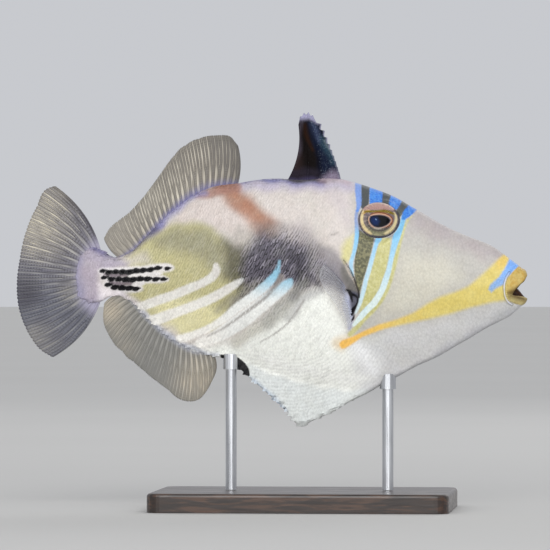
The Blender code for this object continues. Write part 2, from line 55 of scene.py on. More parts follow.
# the fish's outline in side view, in mm: along the fish, height above the floor
body = {
    "back": [
        (-84.5, 100.4), (-83.6, 105.6), (-80.5, 110.4), (-75.0, 112.0), (-68.7, 107.8), (-61.0, 110.0),
        (-52.3, 118.6), (-43.7, 127.0), (-35.1, 133.5), (-26.5, 137.7), (-15.0, 139.6), (0.0, 141.6),
        (12.3, 141.1), (30.8, 141.3), (38.1, 139.2), (46.7, 136.3), (55.3, 132.4), (63.9, 127.3),
        (76.8, 120.1), (98.4, 110.2), (102.7, 106.9), (107.0, 103.4), (109.4, 101.4), (110.0, 99.8),
    ],
    "belly": [
        (-84.5, 98.4), (-83.6, 93.0), (-80.5, 89.4), (-75.0, 88.3), (-68.7, 91.2), (-61.0, 89.2),
        (-52.3, 80.4), (-43.7, 73.2), (-35.1, 68.4), (-26.0, 65.6), (-17.9, 63.2), (-9.3, 56.0),
        (0.4, 47.6), (6.4, 42.2), (8.6, 38.6), (11.0, 36.2), (14.0, 35.8), (18.0, 37.9), (25.0, 41.0),
        (34.0, 46.1), (42.5, 50.4), (55.3, 57.6), (76.8, 68.4), (89.8, 76.2), (98.4, 80.8),
        (102.7, 83.3), (107.0, 87.0), (109.3, 89.0), (110.0, 90.6),
    ],
    # the fleshy belly above the thin flap
    "trunk": [
        (-26.0, 65.2), (-18.0, 65.0), (-9.3, 61.4), (3.7, 56.4), (13.6, 53.4), (25.0, 50.9),
        (34.7, 50.0), (46.0, 50.6),
    ],
    # along, widest half width, how high up the widest place is
    "sections": [
        (-84.5, 1.5, .50), (-80.0, 2.1, .50), (-75.0, 2.9, .50), (-68.7, 3.8, .50), (-61.0, 4.9, .50),
        (-52.3, 6.5, .52), (-35.1, 10.2, .55), (-18.0, 13.8, .58), (0.0, 16.3, .60), (15.0, 17.3, .60),
        (30.0, 17.2, .60), (45.0, 15.8, .60), (60.0, 13.4, .58), (76.0, 10.7, .55), (90.0, 8.3, .52),
        (98.4, 6.9, .50), (103.0, 6.2, .50), (106.5, 5.2, .50), (108.8, 3.8, .50), (110.0, 1.6, .50),
    ],
    "backFullness": 2.2,
    "bellyTaper": (1.7, 1.15),
    "flapHalf": 1.3,
    "keelHalf": 2.0,
    "columns": 360,  # faces round the body
}


def smooth(x):
    x = np.clip(x, 0, 1)
    return x * x * (3 - 2 * x)


def bump(distance, width):
    return np.exp(-(distance / width) ** 2)


def curveThrough(knots, values):
    knots = np.array(knots, float)
    values = np.array(values, float).reshape(len(knots), -1)
    slopes = np.gradient(values, knots, axis=0)

    def at(x):
        x = np.clip(np.asarray(x, float), knots[0], knots[-1])
        i = np.clip(np.searchsorted(knots, x, side="right") - 1, 0, len(knots) - 2)
        span = (knots[i + 1] - knots[i])[..., None]
        u = (x - knots[i])[..., None] / span
        made = values[i] * (1 + 2 * u) * (1 - u) ** 2 + values[i + 1] * u * u * (3 - 2 * u)
        made += (slopes[i] * (1 - u) - slopes[i + 1] * u) * span * u * (1 - u)
        return made[..., 0] if values.shape[1] == 1 else made

    return at


def profileThrough(points):
    return curveThrough([p[0] for p in points], [p[1:] for p in points])


def pathThrough(points):
    points = np.array(points, float)
    steps = np.hypot(*np.diff(points[:, :2], axis=0).T)
    return curveThrough(np.concatenate([[0], np.cumsum(steps)]) / steps.sum(), points)


backAt = profileThrough(body["back"])
bellyAt = profileThrough(body["belly"])
trunkAt = profileThrough(body["trunk"])
sectionAt = profileThrough(body["sections"])


def halfWidth(x, z):
    x, z = np.broadcast_arrays(np.asarray(x, float), np.asarray(z, float))
    low, high = bellyAt(x), backAt(x)
    widest, share = np.moveaxis(sectionAt(x), -1, 0)
    overFlap = (x > body["trunk"][0][0]) & (x < body["trunk"][-1][0])
    hang = np.where(overFlap, np.maximum(0, trunkAt(x) - low), 0)
    trunk = low + hang
    waist = trunk + share * (high - trunk)
    above = np.clip((z - waist) / (high - waist), 0, 1)
    below = np.clip((waist - z) / (waist - trunk), 0, 1)
    full, (taperIn, taperOut) = body["backFullness"], body["bellyTaper"]
    upper = (1 - above ** full) ** (1 / full)
    lower = (1 - below ** taperIn) ** (1 / taperOut)
    flesh = widest * np.where(z >= waist, upper, lower)
    thin = np.clip(hang / 4, 0, 1)
    rim = np.minimum(widest, body["keelHalf"] + (body["flapHalf"] - body["keelHalf"]) * thin)
    rise = np.clip((z - low) / (high - low), 0, 1)
    edge = rim * np.sqrt(1 - (1 - np.clip((z - low) / rim, 0, 1)) ** 2) * np.sqrt(1 - rise ** 6)
    return (flesh ** 3 + edge ** 3) ** (1 / 3)


def unit(v):
    return v / np.maximum(np.linalg.norm(v, axis=-1, keepdims=True), 1e-9)


# from the middle plane of the fish to the photograph's pixels; both sides are painted alike
def pixelOf(places):
    x, y, z = np.moveaxis(places, -1, 0)
    turn = math.tan(math.radians(shot["azimuth"]))
    column = shot["middleColumn"] + (x - np.abs(y) * turn) / shot["mmPerPixel"]
    row = shot["floorRow"] - z / shot["mmPerPixel"]
    near = 1 + np.abs(y) / shot["distance"]
    middle = shot["frameSize"] / 2
    return middle + (column - middle) * near, middle + (row - middle) * near


def linear(colour):
    values = np.array([int(colour[i:i + 2], 16) / 255 for i in (1, 3, 5)])
    return np.where(values <= 0.04045, values / 12.92, ((values + 0.055) / 1.055) ** 2.4)


# one material and its nodes; a value is a socket, a number or a "#rrggbb" colour
class Finish:
    def __init__(self, name, **values):
        self.material = bpy.data.materials.new(name)
        self.material.use_nodes = True
        self.tree = self.material.node_tree
        self.shader = self.tree.nodes["Principled BSDF"]
        self.set(**values)

    def put(self, socket, value):
        if isinstance(value, bpy.types.NodeSocket):
            self.tree.links.new(value, socket)
        else:
            socket.default_value = (*linear(value), 1) if isinstance(value, str) else value

    def set(self, **values):
        for name, value in values.items():
            self.put(self.shader.inputs[name.replace("_", " ")], value)

    def add(self, kind, inputs=None, **settings):
        made = self.tree.nodes.new("ShaderNode" + kind)
        for name, value in settings.items():
            setattr(made, name, value)
        for socket, value in (inputs or {}).items():
            self.put(made.inputs[socket], value)
        return made

    def math(self, operation, a, b=0.0, c=0.0):
        return self.add("Math", {0: a, 1: b, 2: c}, operation=operation).outputs[0]

    def times(self, a, b):
        return self.math("MULTIPLY", a, b)

    def minus(self, a, b):
        return self.math("SUBTRACT", a, b)

    def timesPlus(self, a, b, c):
        return self.math("MULTIPLY_ADD", a, b, c)

    def mix(self, share, a, b, blend="MIX"):
        inputs = {0: share, 6: a, 7: b}
        return self.add("Mix", inputs, data_type="RGBA", blend_type=blend, clamp_factor=True).outputs[2]

    def ramp(self, value, low, high, start=0.0, end=1.0):
        inputs = {"Value": value, "From Min": low, "From Max": high, "To Min": start, "To Max": end}
        return self.add("MapRange", inputs, interpolation_type="SMOOTHSTEP").outputs[0]

    def place(self, stretch=(1, 1, 1)):
        place = self.add("TexCoord").outputs["Object"]
        if stretch == (1, 1, 1):
            return place
        return self.add("Mapping", {"Vector": place, "Scale": stretch}).outputs[0]

    def noise(self, scale, detail=2.0, roughness=0.5, stretch=(1, 1, 1)):
        inputs = {"Vector": self.place(stretch), "Scale": scale, "Detail": detail, "Roughness": roughness}
        return self.add("TexNoise", inputs).outputs[0]

    def attribute(self, name, output="Fac"):
        return self.add("Attribute", attribute_name=name).outputs[output]

    def parts(self, name):
        return self.add("SeparateXYZ", {0: self.attribute(name, "Vector")}).outputs[:3]

    def bump(self, height, distance, strength):
        made = self.add("Bump", {"Height": height, "Distance": distance, "Strength": strength})
        self.set(Normal=made.outputs[0])


def keepAttribute(mesh, name, values, kind="FLOAT"):
    made = mesh.attributes.new(name, kind, "POINT")
    if kind == "FLOAT_COLOR":
        values = np.concatenate([values, np.ones((len(values), 1))], axis=1)
    word = {"FLOAT": "value", "FLOAT_VECTOR": "vector", "FLOAT_COLOR": "color"}[kind]
    made.data.foreach_set(word, np.ascontiguousarray(values, np.float32).ravel())


def pointsOf(mesh):
    found = np.zeros(len(mesh.vertices) * 3, np.float32)
    mesh.vertices.foreach_get("co", found)
    return found.reshape(-1, 3).astype(float) / mm


# a grid of faces moved onto an array of places in mm; edges that meet are welded
def surfaceFrom(places, layers=None, weld=0.002):
    rows, columns = places.shape[0] - 1, places.shape[1] - 1
    bm = bmesh.new()
    bmesh.ops.create_grid(bm, x_segments=rows, y_segments=columns, size=0.5)
    kept = {name: bm.verts.layers.float_vector.new(name) for name in layers or {}}
    placed = (places * mm).tolist()
    values = {name: layers[name].tolist() for name in kept}
    for v in bm.verts:
        i, j = round((v.co.x + 0.5) * rows), round((v.co.y + 0.5) * columns)
        v.co = placed[i][j]
        for name, layer in kept.items():
            v[layer] = values[name][i][j]
    bmesh.ops.remove_doubles(bm, verts=bm.verts, dist=weld * mm)
    bmesh.ops.dissolve_degenerate(bm, edges=bm.edges, dist=weld * mm * 0.1)
    return bm


def finishPiece(name, bm, material, replaced=()):
    bmesh.ops.recalc_face_normals(bm, faces=bm.faces)
    mesh = bpy.data.meshes.new(name)
    bm.to_mesh(mesh)
    bm.free()
    return placePiece(name, mesh, material, replaced)


def placePiece(name, mesh, material, replaced=()):
    mesh.shade_smooth()
    mesh.materials.append(material)
    piece = bpy.data.objects.new(name, mesh)
    bpy.context.scene.collection.objects.link(piece)
    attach(piece, "root")
    if replaced:
        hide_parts(*replaced)
    return piece


# many copies of one small form as one mesh: ways are three arrays of directions, sizes scale them
def joinedCopies(name, form, origins, ways, sizes):
    points = np.array([v.co for v in form.verts])
    faces = np.array([[v.index for v in f.verts] for f in form.faces])
    form.free()
    offsets = sum(points[None, :, k, None] * ways[k][:, None, :] * sizes[k][:, None, None] for k in range(3))
    placed = (origins[:, None, :] + offsets) * mm
    count = len(points)
    joined = faces[None] + (np.arange(len(origins)) * count)[:, None, None]
    mirrored = np.einsum("ij,ij->i", np.cross(ways[0], ways[1]), ways[2]) < 0
    joined[mirrored] = joined[mirrored][:, :, ::-1]
    mesh = bpy.data.meshes.new(name)
    mesh.from_pydata(placed.reshape(-1, 3).tolist(), [], joined.reshape(-1, faces.shape[1]).tolist())
    return mesh, count


# the skin's rings, from the tail to the lips and on into the mouth
skin = {
    "ringSpans": [(-84.5, -76.0, 12), (-76.0, 26.0, 58), (26.0, 58.0, 92), (58.0, 97.0, 34)],
    "snoutRings": 34,
    "lipRadius": 0.55,
    "throat": (97.0, 0.0, 94.2),
    "mouthRings": 6,
    # the edge of the open mouth in side view, from the lower lip's tip to the upper one's
    "mouthEdge": [
        (109.6, 89.8), (108.6, 90.3), (107.0, 90.7), (105.2, 91.0), (104.0, 91.2), (103.2, 91.7),
        (103.6, 92.9), (104.4, 94.2), (105.2, 95.2), (106.4, 96.6), (108.2, 98.2), (109.6, 100.4),
    ],
}

eye = {
    "place": (47.1, 123.7),
    "globe": (9.2, 8.25, 3.7),      # half length, half height, bulge
    "sunk": 1.15,
    "orbit": (9.15, 8.2),
    "rimHeight": 0.45,
}

gill = {
    "slit": [(32.0, 106.4), (33.8, 103.9), (35.7, 99.9), (37.2, 95.2), (38.1, 91.6), (38.0, 88.6),
             (36.7, 85.6), (35.5, 83.0)],
    "depth": 0.95,
    "rim": 0.28,
    "pocket": [(34.8, 93.0), (36.4, 90.6), (36.9, 87.8), (36.0, 84.4)],
}

lipCrease = {
    "path": [(104.6, 103.4), (102.9, 101.6), (101.6, 99.0), (100.8, 96.4), (100.9, 93.8), (101.3, 90.8),
             (102.5, 88.8), (104.8, 87.7), (106.6, 86.4)],
    "depth": 0.3,
}


def distanceToPath(x, z, points, steps=24):
    path = pathThrough(points)(np.linspace(0, 1, steps))
    gaps = [np.hypot(x - a, z - b) for a, b in path[:, :2]]
    return np.min(gaps, axis=0)


def sideFrame(x, z, side):
    step = 0.5
    dx = float(halfWidth(x + step, z) - halfWidth(x - step, z)) / (2 * step)
    dz = float(halfWidth(x, z + step) - halfWidth(x, z - step)) / (2 * step)
    out = unit(np.array([-dx, side, -dz]))
    forward = unit(np.array([1, side * dx, 0]))
    up = np.cross(out, forward) * -side
    return np.array([x, side * float(halfWidth(x, z)), z]), out, forward, up


def reliefAt(x, z):
    raised = 0.16 * np.sin(x * 0.31 + z * 0.17) * np.sin(z * 0.23 - x * 0.11 + 1.0) * smooth((x - 34) / 10)
    # socket and rim of the eye
    place, out, forward, up = sideFrame(*eye["place"], 1)
    a = (x - place[0]) / forward[0]
    b = (z - place[2]) / up[2]
    fromEye = np.hypot(a / eye["orbit"][0], b / eye["orbit"][1])
    raised += eye["rimHeight"] * bump(fromEye - 1.04, 0.09)
    raised -= 3.4 * smooth((0.98 - fromEye) / 0.16)
    raised -= 0.25 * bump(fromEye - 1.26, 0.09)
    # gill slit, its raised rear rim, and the pocket that the pectoral fin grows from
    slit = distanceToPath(x, z, gill["slit"])
    slitLine = profileThrough([(p[1], p[0]) for p in reversed(gill["slit"])])
    behind = smooth((slitLine(z) - x) / 0.6) * smooth((z - 86) / 6)
    raised -= gill["depth"] * bump(slit, 0.4)
    raised += gill["rim"] * bump(slit - 0.9, 0.75) * behind
    raised += 0.35 * bump(slit - 1.4, 1.4) * smooth((x - slitLine(z)) / 0.8) * smooth((z - 84) / 6)
    raised -= 1.1 * bump(distanceToPath(x, z, gill["pocket"]), 1.1)
    # crease behind the lips
    away = distanceToPath(x, z, lipCrease["path"])
    raised -= lipCrease["depth"] * bump(away, 0.32)
    raised += 0.12 * bump(away - 0.9, 0.5)
    # folds of the belly flap, which run along it
    low = bellyAt(x)
    flap = smooth((x + 12) / 10) * smooth((36 - x) / 12) * smooth((28 - (z - low)) / 12)
    raised += 0.06 * flap * np.sin(2 * math.pi * (z - 0.35 * low) / 3.1 + 0.6 * np.sin(x * 0.13))
    # the skin lies a little inside the scales
    return raised - 0.1 * smooth((36 - x) / 4)


def bodyPlaces():
    spans = [np.linspace(a, b, n, endpoint=False) for a, b, n in skin["ringSpans"]]
    stations = np.concatenate(spans + [[skin["ringSpans"][-1][1]]])
    half = body["columns"] // 2
    low, high = bellyAt(stations)[:, None], backAt(stations)[:, None]
    z = low + (high - low) * (1 - np.cos(np.linspace(0, math.pi, 500)))[None] / 2
    y = halfWidth(stations[:, None], z) * (1 - 0.45 * smooth((-77 - stations) / 7.5))[:, None]
    y[:, 0] = y[:, -1] = 0
    arc = np.concatenate([np.zeros((len(z), 1)), np.cumsum(np.hypot(np.diff(y), np.diff(z)), 1)], 1)
    rings = []
    for i, x in enumerate(stations):
        even = np.linspace(0, arc[i, -1], half + 1)
        rings.append(np.stack([np.full(half + 1, x), np.interp(even, arc[i], y[i]), np.interp(even, arc[i], z[i])], -1))
    planar = np.array(rings)
    # the snout: rings drawn from the last flat one to the edge of the mouth
    start = planar[-1]
    edge = pathThrough(skin["mouthEdge"])(np.linspace(0, 1, half + 1))
    edge[0, 1], edge[-1, 1] = bellyAt(edge[0, 0]), backAt(edge[-1, 0])
    rise = (start[:, 2] - bellyAt(start[:, 0])) / (backAt(start[:, 0]) - bellyAt(start[:, 0]))
    edgeRise = (edge[:, 1] - bellyAt(edge[:, 0])) / (backAt(edge[:, 0]) - bellyAt(edge[:, 0]))
    rows = []
    for s in np.linspace(0, 1, skin["snoutRings"] + 1)[1:]:
        x = start[:, 0] + (edge[:, 0] - start[:, 0]) * s
        h = rise + (edgeRise - rise) * s ** 1.3
        z = bellyAt(x) + (backAt(x) - bellyAt(x)) * h
        y = halfWidth(x, z)
        y[0] = y[-1] = 0
        rows.append(np.stack([x, y, z], -1))
    return np.concatenate([planar, np.array(rows)])


# right half (y taken as positive), and which way its skin faces
rightHalf = bodyPlaces()
alongRows = np.gradient(rightHalf, axis=0)
acrossRows = np.gradient(rightHalf, axis=1)
outward = unit(np.cross(acrossRows, alongRows))
outward[:, 0, 1] = outward[:, -1, 1] = 0
outward = unit(outward)
outward *= np.sign(np.median(outward[..., 1]))
raised = reliefAt(rightHalf[..., 0], rightHalf[..., 2])
rightHalf = rightHalf + outward * raised[..., None]
rightHalf[:, 0, 1] = rightHalf[:, -1, 1] = 0


def lipAndMouth(half):
    edge, before = half[-1], half[-2]
    along = unit(edge - before)
    out = outward[-1]
    radius = skin["lipRadius"]
    rings, inside = [], []
    for turn in np.radians([30, 60, 90, 120, 150, 180]):
        rings.append(edge + along * radius * math.sin(turn) - out * radius * (1 - math.cos(turn)))
        inside.append(max(0.0, (turn - 1.2) / 1.9))
    last = rings[-1]
    throat = np.array(skin["throat"])
    for k in range(1, skin["mouthRings"] + 1):
        w = k / skin["mouthRings"]
        ring = last + (throat - last) * w
        ring[:, 1] = last[:, 1] * (1 - w) ** 0.7
        rings.append(ring)
        inside.append(1.0)
    rings = np.array(rings)
    rings[:, 0, 1] = rings[:, -1, 1] = 0
    rings[..., 1] = np.maximum(rings[..., 1], 0)
    return rings, inside


mouthRings, mouthInside = lipAndMouth(rightHalf)
tailEnd = rightHalf[0].copy()
tailEnd[:, 0] -= 0.4
tailEnd[:, 1] = 0
wholeHalf = np.concatenate([tailEnd[None], rightHalf, mouthRings])
insideRows = np.concatenate([np.zeros(1 + len(rightHalf)), mouthInside])
mirror = np.array([1, -1, 1])
wholeSkin = np.concatenate([wholeHalf * mirror, wholeHalf[:, -2::-1]], axis=1)
insideLayer = np.zeros(wholeSkin.shape)
insideLayer[..., 0] = insideRows[:, None]
print("skin rings:", wholeSkin.shape)


# signed distance in pixels, positive inside: to a stroke of (column, row, width) knots
def strokeField(column, row, knots, reach):
    path = pathThrough(knots)(np.linspace(0, 1, 5 * (len(knots) - 1) + 1))
    return nearestField(column, row, path, reach, closed=False)


# and to an area with (column, row) corners
def areaField(column, row, corners, reach):
    path = np.array(corners + corners[:1], float)
    path = np.concatenate([path, np.zeros((len(path), 1))], axis=1)
    return nearestField(column, row, path, reach, closed=True)


def nearestField(column, row, path, reach, closed):
    field = np.full(column.shape, -float(reach))
    margin = reach + path[:, 2].max() / 2
    low, high = path[:, :2].min(0) - margin, path[:, :2].max(0) + margin
    near = (column > low[0]) & (column < high[0]) & (row > low[1]) & (row < high[1])
    x, y = column[near], row[near]
    best = np.full(x.shape, -1e9)
    inside = np.zeros(x.shape, bool)
    for a, b in zip(path, path[1:]):
        way = b[:2] - a[:2]
        t = np.clip(((x - a[0]) * way[0] + (y - a[1]) * way[1]) / max(way @ way, 1e-9), 0, 1)
        gap = np.hypot(x - a[0] - way[0] * t, y - a[1] - way[1] * t)
        best = np.maximum(best, (a[2] + (b[2] - a[2]) * t) / 2 - gap)
        if closed and a[1] != b[1]:
            crosses = (a[1] > y) != (b[1] > y)
            inside ^= crosses & (x < a[0] + (y - a[1]) * way[0] / (b[1] - a[1]))
    if closed:
        best = np.where(inside, -best, best)
    field[near] = np.maximum(best, -reach)
    return field


def fieldTo(knots, column, row, reach):
    return (strokeField if len(knots[0]) == 3 else areaField)(column, row, knots, reach)


# soft patches of the ground colour, laid one over another: knots, colour, softness, strength
ground = {
    "start": "#d6cec8",
    "patches": [
        # belly, face and throat
        ([(176, 352), (240, 340), (285, 306), (322, 284), (338, 306), (350, 332), (392, 326), (372, 430),
          (290, 445), (200, 380)], "#fbfcf5", 9, 1.0),
        ([(353, 170), (560, 200), (560, 330), (440, 322), (352, 345)], "#c0bdb6", 9, 1.0),
        ([(404, 204), (430, 214), (505, 253), (540, 285), (490, 262), (440, 242),
          (412, 230)], "#b6adae", 9, 0.85),
        ([(400, 254), (440, 258), (462, 275), (430, 303), (380, 320), (384, 300),
          (394, 276)], "#d5d1c1", 12, 0.8),
        ([(545, 296), (503, 301), (440, 319), (392, 328), (352, 346), (362, 400), (440, 380),
          (545, 320)], "#d3d3d3", 10, 0.9),
        ([(545, 300), (510, 306), (450, 345), (400, 372), (356, 392), (350, 420),
          (545, 420)], "#b9babf", 9, 0.6),
        # painted light: a near-white band just above the flap, lighter than the belly's own colour, to offset the shade
        # where the belly turns under
        ([(250, 350), (300, 366), (350, 372), (374, 376), (366, 383), (330, 381), (303, 375), (280, 369),
          (255, 360)], "#fdfdf8", 7, 0.8),
        # the flap's own grey-white, darkened a little as painted shade so that it matches the belly above, which faces
        # away from the light
        ([(236, 358), (250, 364.4), (280, 376), (303, 383), (330, 388.6), (352, 390.4), (372, 389),
          (360, 402), (300, 436), (262, 396)], "#d6dad8", 2.6, 0.95),
        ([(246, 376, 4), (262, 389, 6), (276, 403, 6), (286, 410, 4)], "#b3c3d6", 3, 0.7),
        # painted shade: a grey stroke along the lower edge of the throat
        ([(372, 391, 4), (400, 376, 5), (450, 347, 5), (490, 323, 4), (510, 309, 2)], "#9fa0a5", 5, 0.6),
        # back
        # painted shade: a dark lavender line along the top edge of the back, where it turns away from the light
        ([(236, 181, 5), (262, 179.6, 5), (300, 183.4, 5.6), (322, 182.8, 5.4)], "#575b98", 3, 0.95),
        ([(236, 186, 9), (290, 186, 9), (350, 186, 10)], "#b3acca", 6, 0.65),
        ([(284, 180, 2.4), (300, 180.2, 5.4), (318, 180.4, 4.6), (326, 181, 3)], "#2e2936", 1.6, 0.85),
        ([(322, 178, 8), (332, 177, 10), (346, 181, 8)], "#b9a3ae", 5, 0.75),
        ([(332, 196, 14), (344, 204, 14), (346, 220, 10)], "#c9c0c2", 8, 0.7),
        ([(165, 228), (182, 208), (205, 196), (232, 196), (243, 214), (250, 236), (232, 236), (205, 222),
          (180, 226)], "#d7ccc6", 6, 0.95),
        ([(236, 224), (256, 230), (252, 248), (238, 246), (232, 234)], "#b9b2aa", 6, 0.7),
        ([(339.4, 344, 12), (350, 338, 8)], "#ecd0a0", 5, 0.6),
        # painted light: white under the end of the cheek band, to lift the shade that the body's shape leaves there
        ([(354, 348, 10), (363, 355, 14), (373, 368, 14)], "#ffffff", 8, 0.8),
        # olive field
        ([(118, 263), (130, 251), (150, 237), (168, 226), (190, 222), (210, 227), (225, 240), (240, 258),
          (246, 290), (230, 312), (212, 330), (185, 334), (172, 322), (150, 318), (140, 306),
          (125, 296)], "#c6c08f", 5, 0.97),
        ([(104, 254), (128, 256), (146, 252), (150, 264), (120, 268), (100, 266)], "#d6cfd0", 6, 0.55),
        ([(152, 238), (176, 226), (208, 229), (227, 244), (238, 266), (226, 280), (205, 264), (182, 252),
          (160, 248)], "#a29e80", 10, 0.95),
        ([(224, 240), (245, 246), (250, 282), (238, 294), (226, 278)], "#5f5d4e", 7, 0.85),
        ([(148, 300), (176, 298), (200, 300), (216, 308), (222, 316), (206, 326), (184, 336),
          (160, 322)], "#ebe4b4", 7, 0.9),
        ([(232, 296, 8), (226, 304, 7), (218, 311, 4)], "#a39e85", 4, 0.8),
        # orange band
        ([(223, 184, 20), (231.5, 195, 19), (240.5, 202.6, 19), (249.5, 209, 19), (258.5, 217, 19),
          (265, 223, 19), (270.5, 230, 18)], "#a5745b", 6, 0.85),
        ([(234, 194, 7), (247, 206, 8), (259, 217, 8)], "#b1785a", 5, 0.55),
        ([(244, 212, 8), (253, 224, 10), (265, 236, 8)], "#ba8468", 5, 0.4),
        ([(255, 225), (268, 222), (284, 228), (282, 240), (262, 242), (254, 236)], "#7c6c68", 7, 0.75),
        ([(236, 187, 9), (222, 190, 11), (208, 193, 9), (198, 197, 5)], "#a97f72", 3, 0.85),
        # dark patch and the greys round it
        ([(300, 234), (318, 241), (334, 250), (346, 264), (353, 281), (358, 297), (342, 293), (328, 286),
          (314, 283), (300, 280)], "#969093", 6, 0.95),
        ([(318, 258), (334, 266), (343, 276), (346, 288), (332, 283), (320, 276),
          (312, 268)], "#838088", 6, 0.8),
        ([(274, 226), (302, 222), (318, 238), (300, 250), (276, 244)], "#b3abac", 8, 0.75),
        ([(246, 249), (255, 240), (264, 233), (280, 238), (298, 242), (307, 251), (312, 264), (318, 283),
          (309, 288), (296, 286), (286, 282), (266, 284), (250, 296), (243, 286),
          (244, 262)], "#66626f", 7, 0.95),
        ([(252, 252), (266, 243), (284, 247), (299, 254), (304, 268), (306, 280), (296, 280), (280, 272),
          (262, 277), (251, 272)], "#595562", 7, 0.85),
        ([(243, 258, 5), (243, 271, 5)], "#4c4b48", 4, 0.7),
        ([(250, 257, 7), (252, 268, 9), (253, 278, 6)], "#55525c", 5, 0.55),
        ([(295, 254, 8), (298, 264, 10), (301, 275, 9), (306, 284, 6)], "#494550", 4, 0.75),
        ([(306, 262, 3), (311, 273, 4), (316, 283, 3), (322, 291, 2)], "#5a5761", 3, 0.7),
        # between the rear stripes, and the grey band in front of them
        ([(246, 284), (262, 280), (256, 292), (240, 303), (228, 312), (233, 298)], "#89867d", 4, 0.9),
        ([(318, 290, 6), (306, 298, 9), (297, 308, 9), (287, 318, 7)], "#c3c3c1", 4, 0.8),
        ([(256, 330, 13), (246, 336, 12), (236, 343, 9)], "#d8d6cb", 5, 0.9),
        ([(293, 296, 13), (279, 311, 15), (266, 322, 14)], "#b9b8b0", 5, 0.9),
        ([(303, 283, 13), (295, 294, 13)], "#8f8e8b", 5, 0.9),
        # tail stalk
        ([(60, 235), (97, 246), (112, 256), (128, 262), (128, 268), (98, 272), (98, 290), (122, 292),
          (140, 306), (120, 304), (100, 306), (60, 315)], "#aea5b4", 6, 0.97),
        ([(84, 262), (98, 262), (100, 292), (86, 296)], "#b8adb8", 6, 0.7),
        # pinkish white below the spine rows, lightened past its own colour as painted light against the shade on the
        # stalk's underside
        ([(98, 284), (126, 292), (142, 306), (152, 322), (130, 310), (112, 302),
          (98, 300)], "#f9f1f3", 5, 0.9),
        ([(76, 246.6, 8), (86, 245, 8.4), (97, 248.4, 7), (106, 254, 5),
          (113, 257.6, 2.4)], "#67648f", 3.8, 0.9),
        ([(74, 262, 12), (73, 280, 12), (77, 298, 12)], "#9b98b2", 6, 0.9),
        ([(82, 302, 4), (92, 303, 4), (102, 301, 3)], "#a3a0b8", 4, 0.6),
        # fleshy fin bases
        ([(127.4, 252, 3), (137, 243.6, 8), (149, 233.4, 8.8), (158.8, 223.8, 8)], "#57557f", 4, 0.92),
        ([(158.8, 223.8, 7), (173.8, 210.2, 7.6), (189, 199.2, 6), (204, 193, 4)], "#9c9ac6", 4, 0.9),
        ([(140, 309, 4), (160, 330, 6), (180, 343, 6), (200, 351.6, 5), (217, 355, 3)], "#bfc4d2", 3, 0.8),
        # behind the gill slit
        ([(343, 262), (349, 268), (353, 278), (357, 288), (359, 297), (351, 296), (346, 291), (343, 281),
          (341, 270)], "#74716d", 3, 0.95),
        ([(343.6, 261, 0.8), (346.2, 265, 1), (348.8, 269.6, 1), (350.8, 274, 0.9), (352.8, 279, 1),
          (354.8, 285, 0.8), (356.8, 292, 0.6)], "#d8c9b8", 0.5, 0.9),
        # painted shadow: dark slate in the hollow between the gill opening and the pectoral fin's base
        ([(349, 290), (355, 292), (360, 295), (360, 302), (357, 307), (353, 315), (350, 317),
          (348, 300)], "#575969", 2, 0.95),
        # painted light: a bluish-white lit strip along the pectoral fin's base
        ([(346, 291), (350, 296), (351.4, 305), (351.4, 314), (352, 322), (351, 329), (348, 329),
          (345.5, 320), (344, 306), (343.6, 296)], "#b6bad0", 2, 0.9),
        # round the eye's socket
        ([(356.8, 214, 1.6), (357.6, 224, 2.6), (362, 233, 3.4), (370, 238.6, 3), (380, 240.4, 2.6),
          (389, 238.6, 2), (396.6, 232.6, 2), (400.4, 226, 1.6), (401, 219, 1.2)], "#74758a", 1.6, 0.85),
        # soft yellow behind the rear face stripe
        ([(355, 234), (353, 243), (351, 252), (349.6, 260), (344.6, 262), (340, 257), (341.5, 248),
          (347, 239)], "#d6cf8c", 3.6, 0.9),
    ],
}

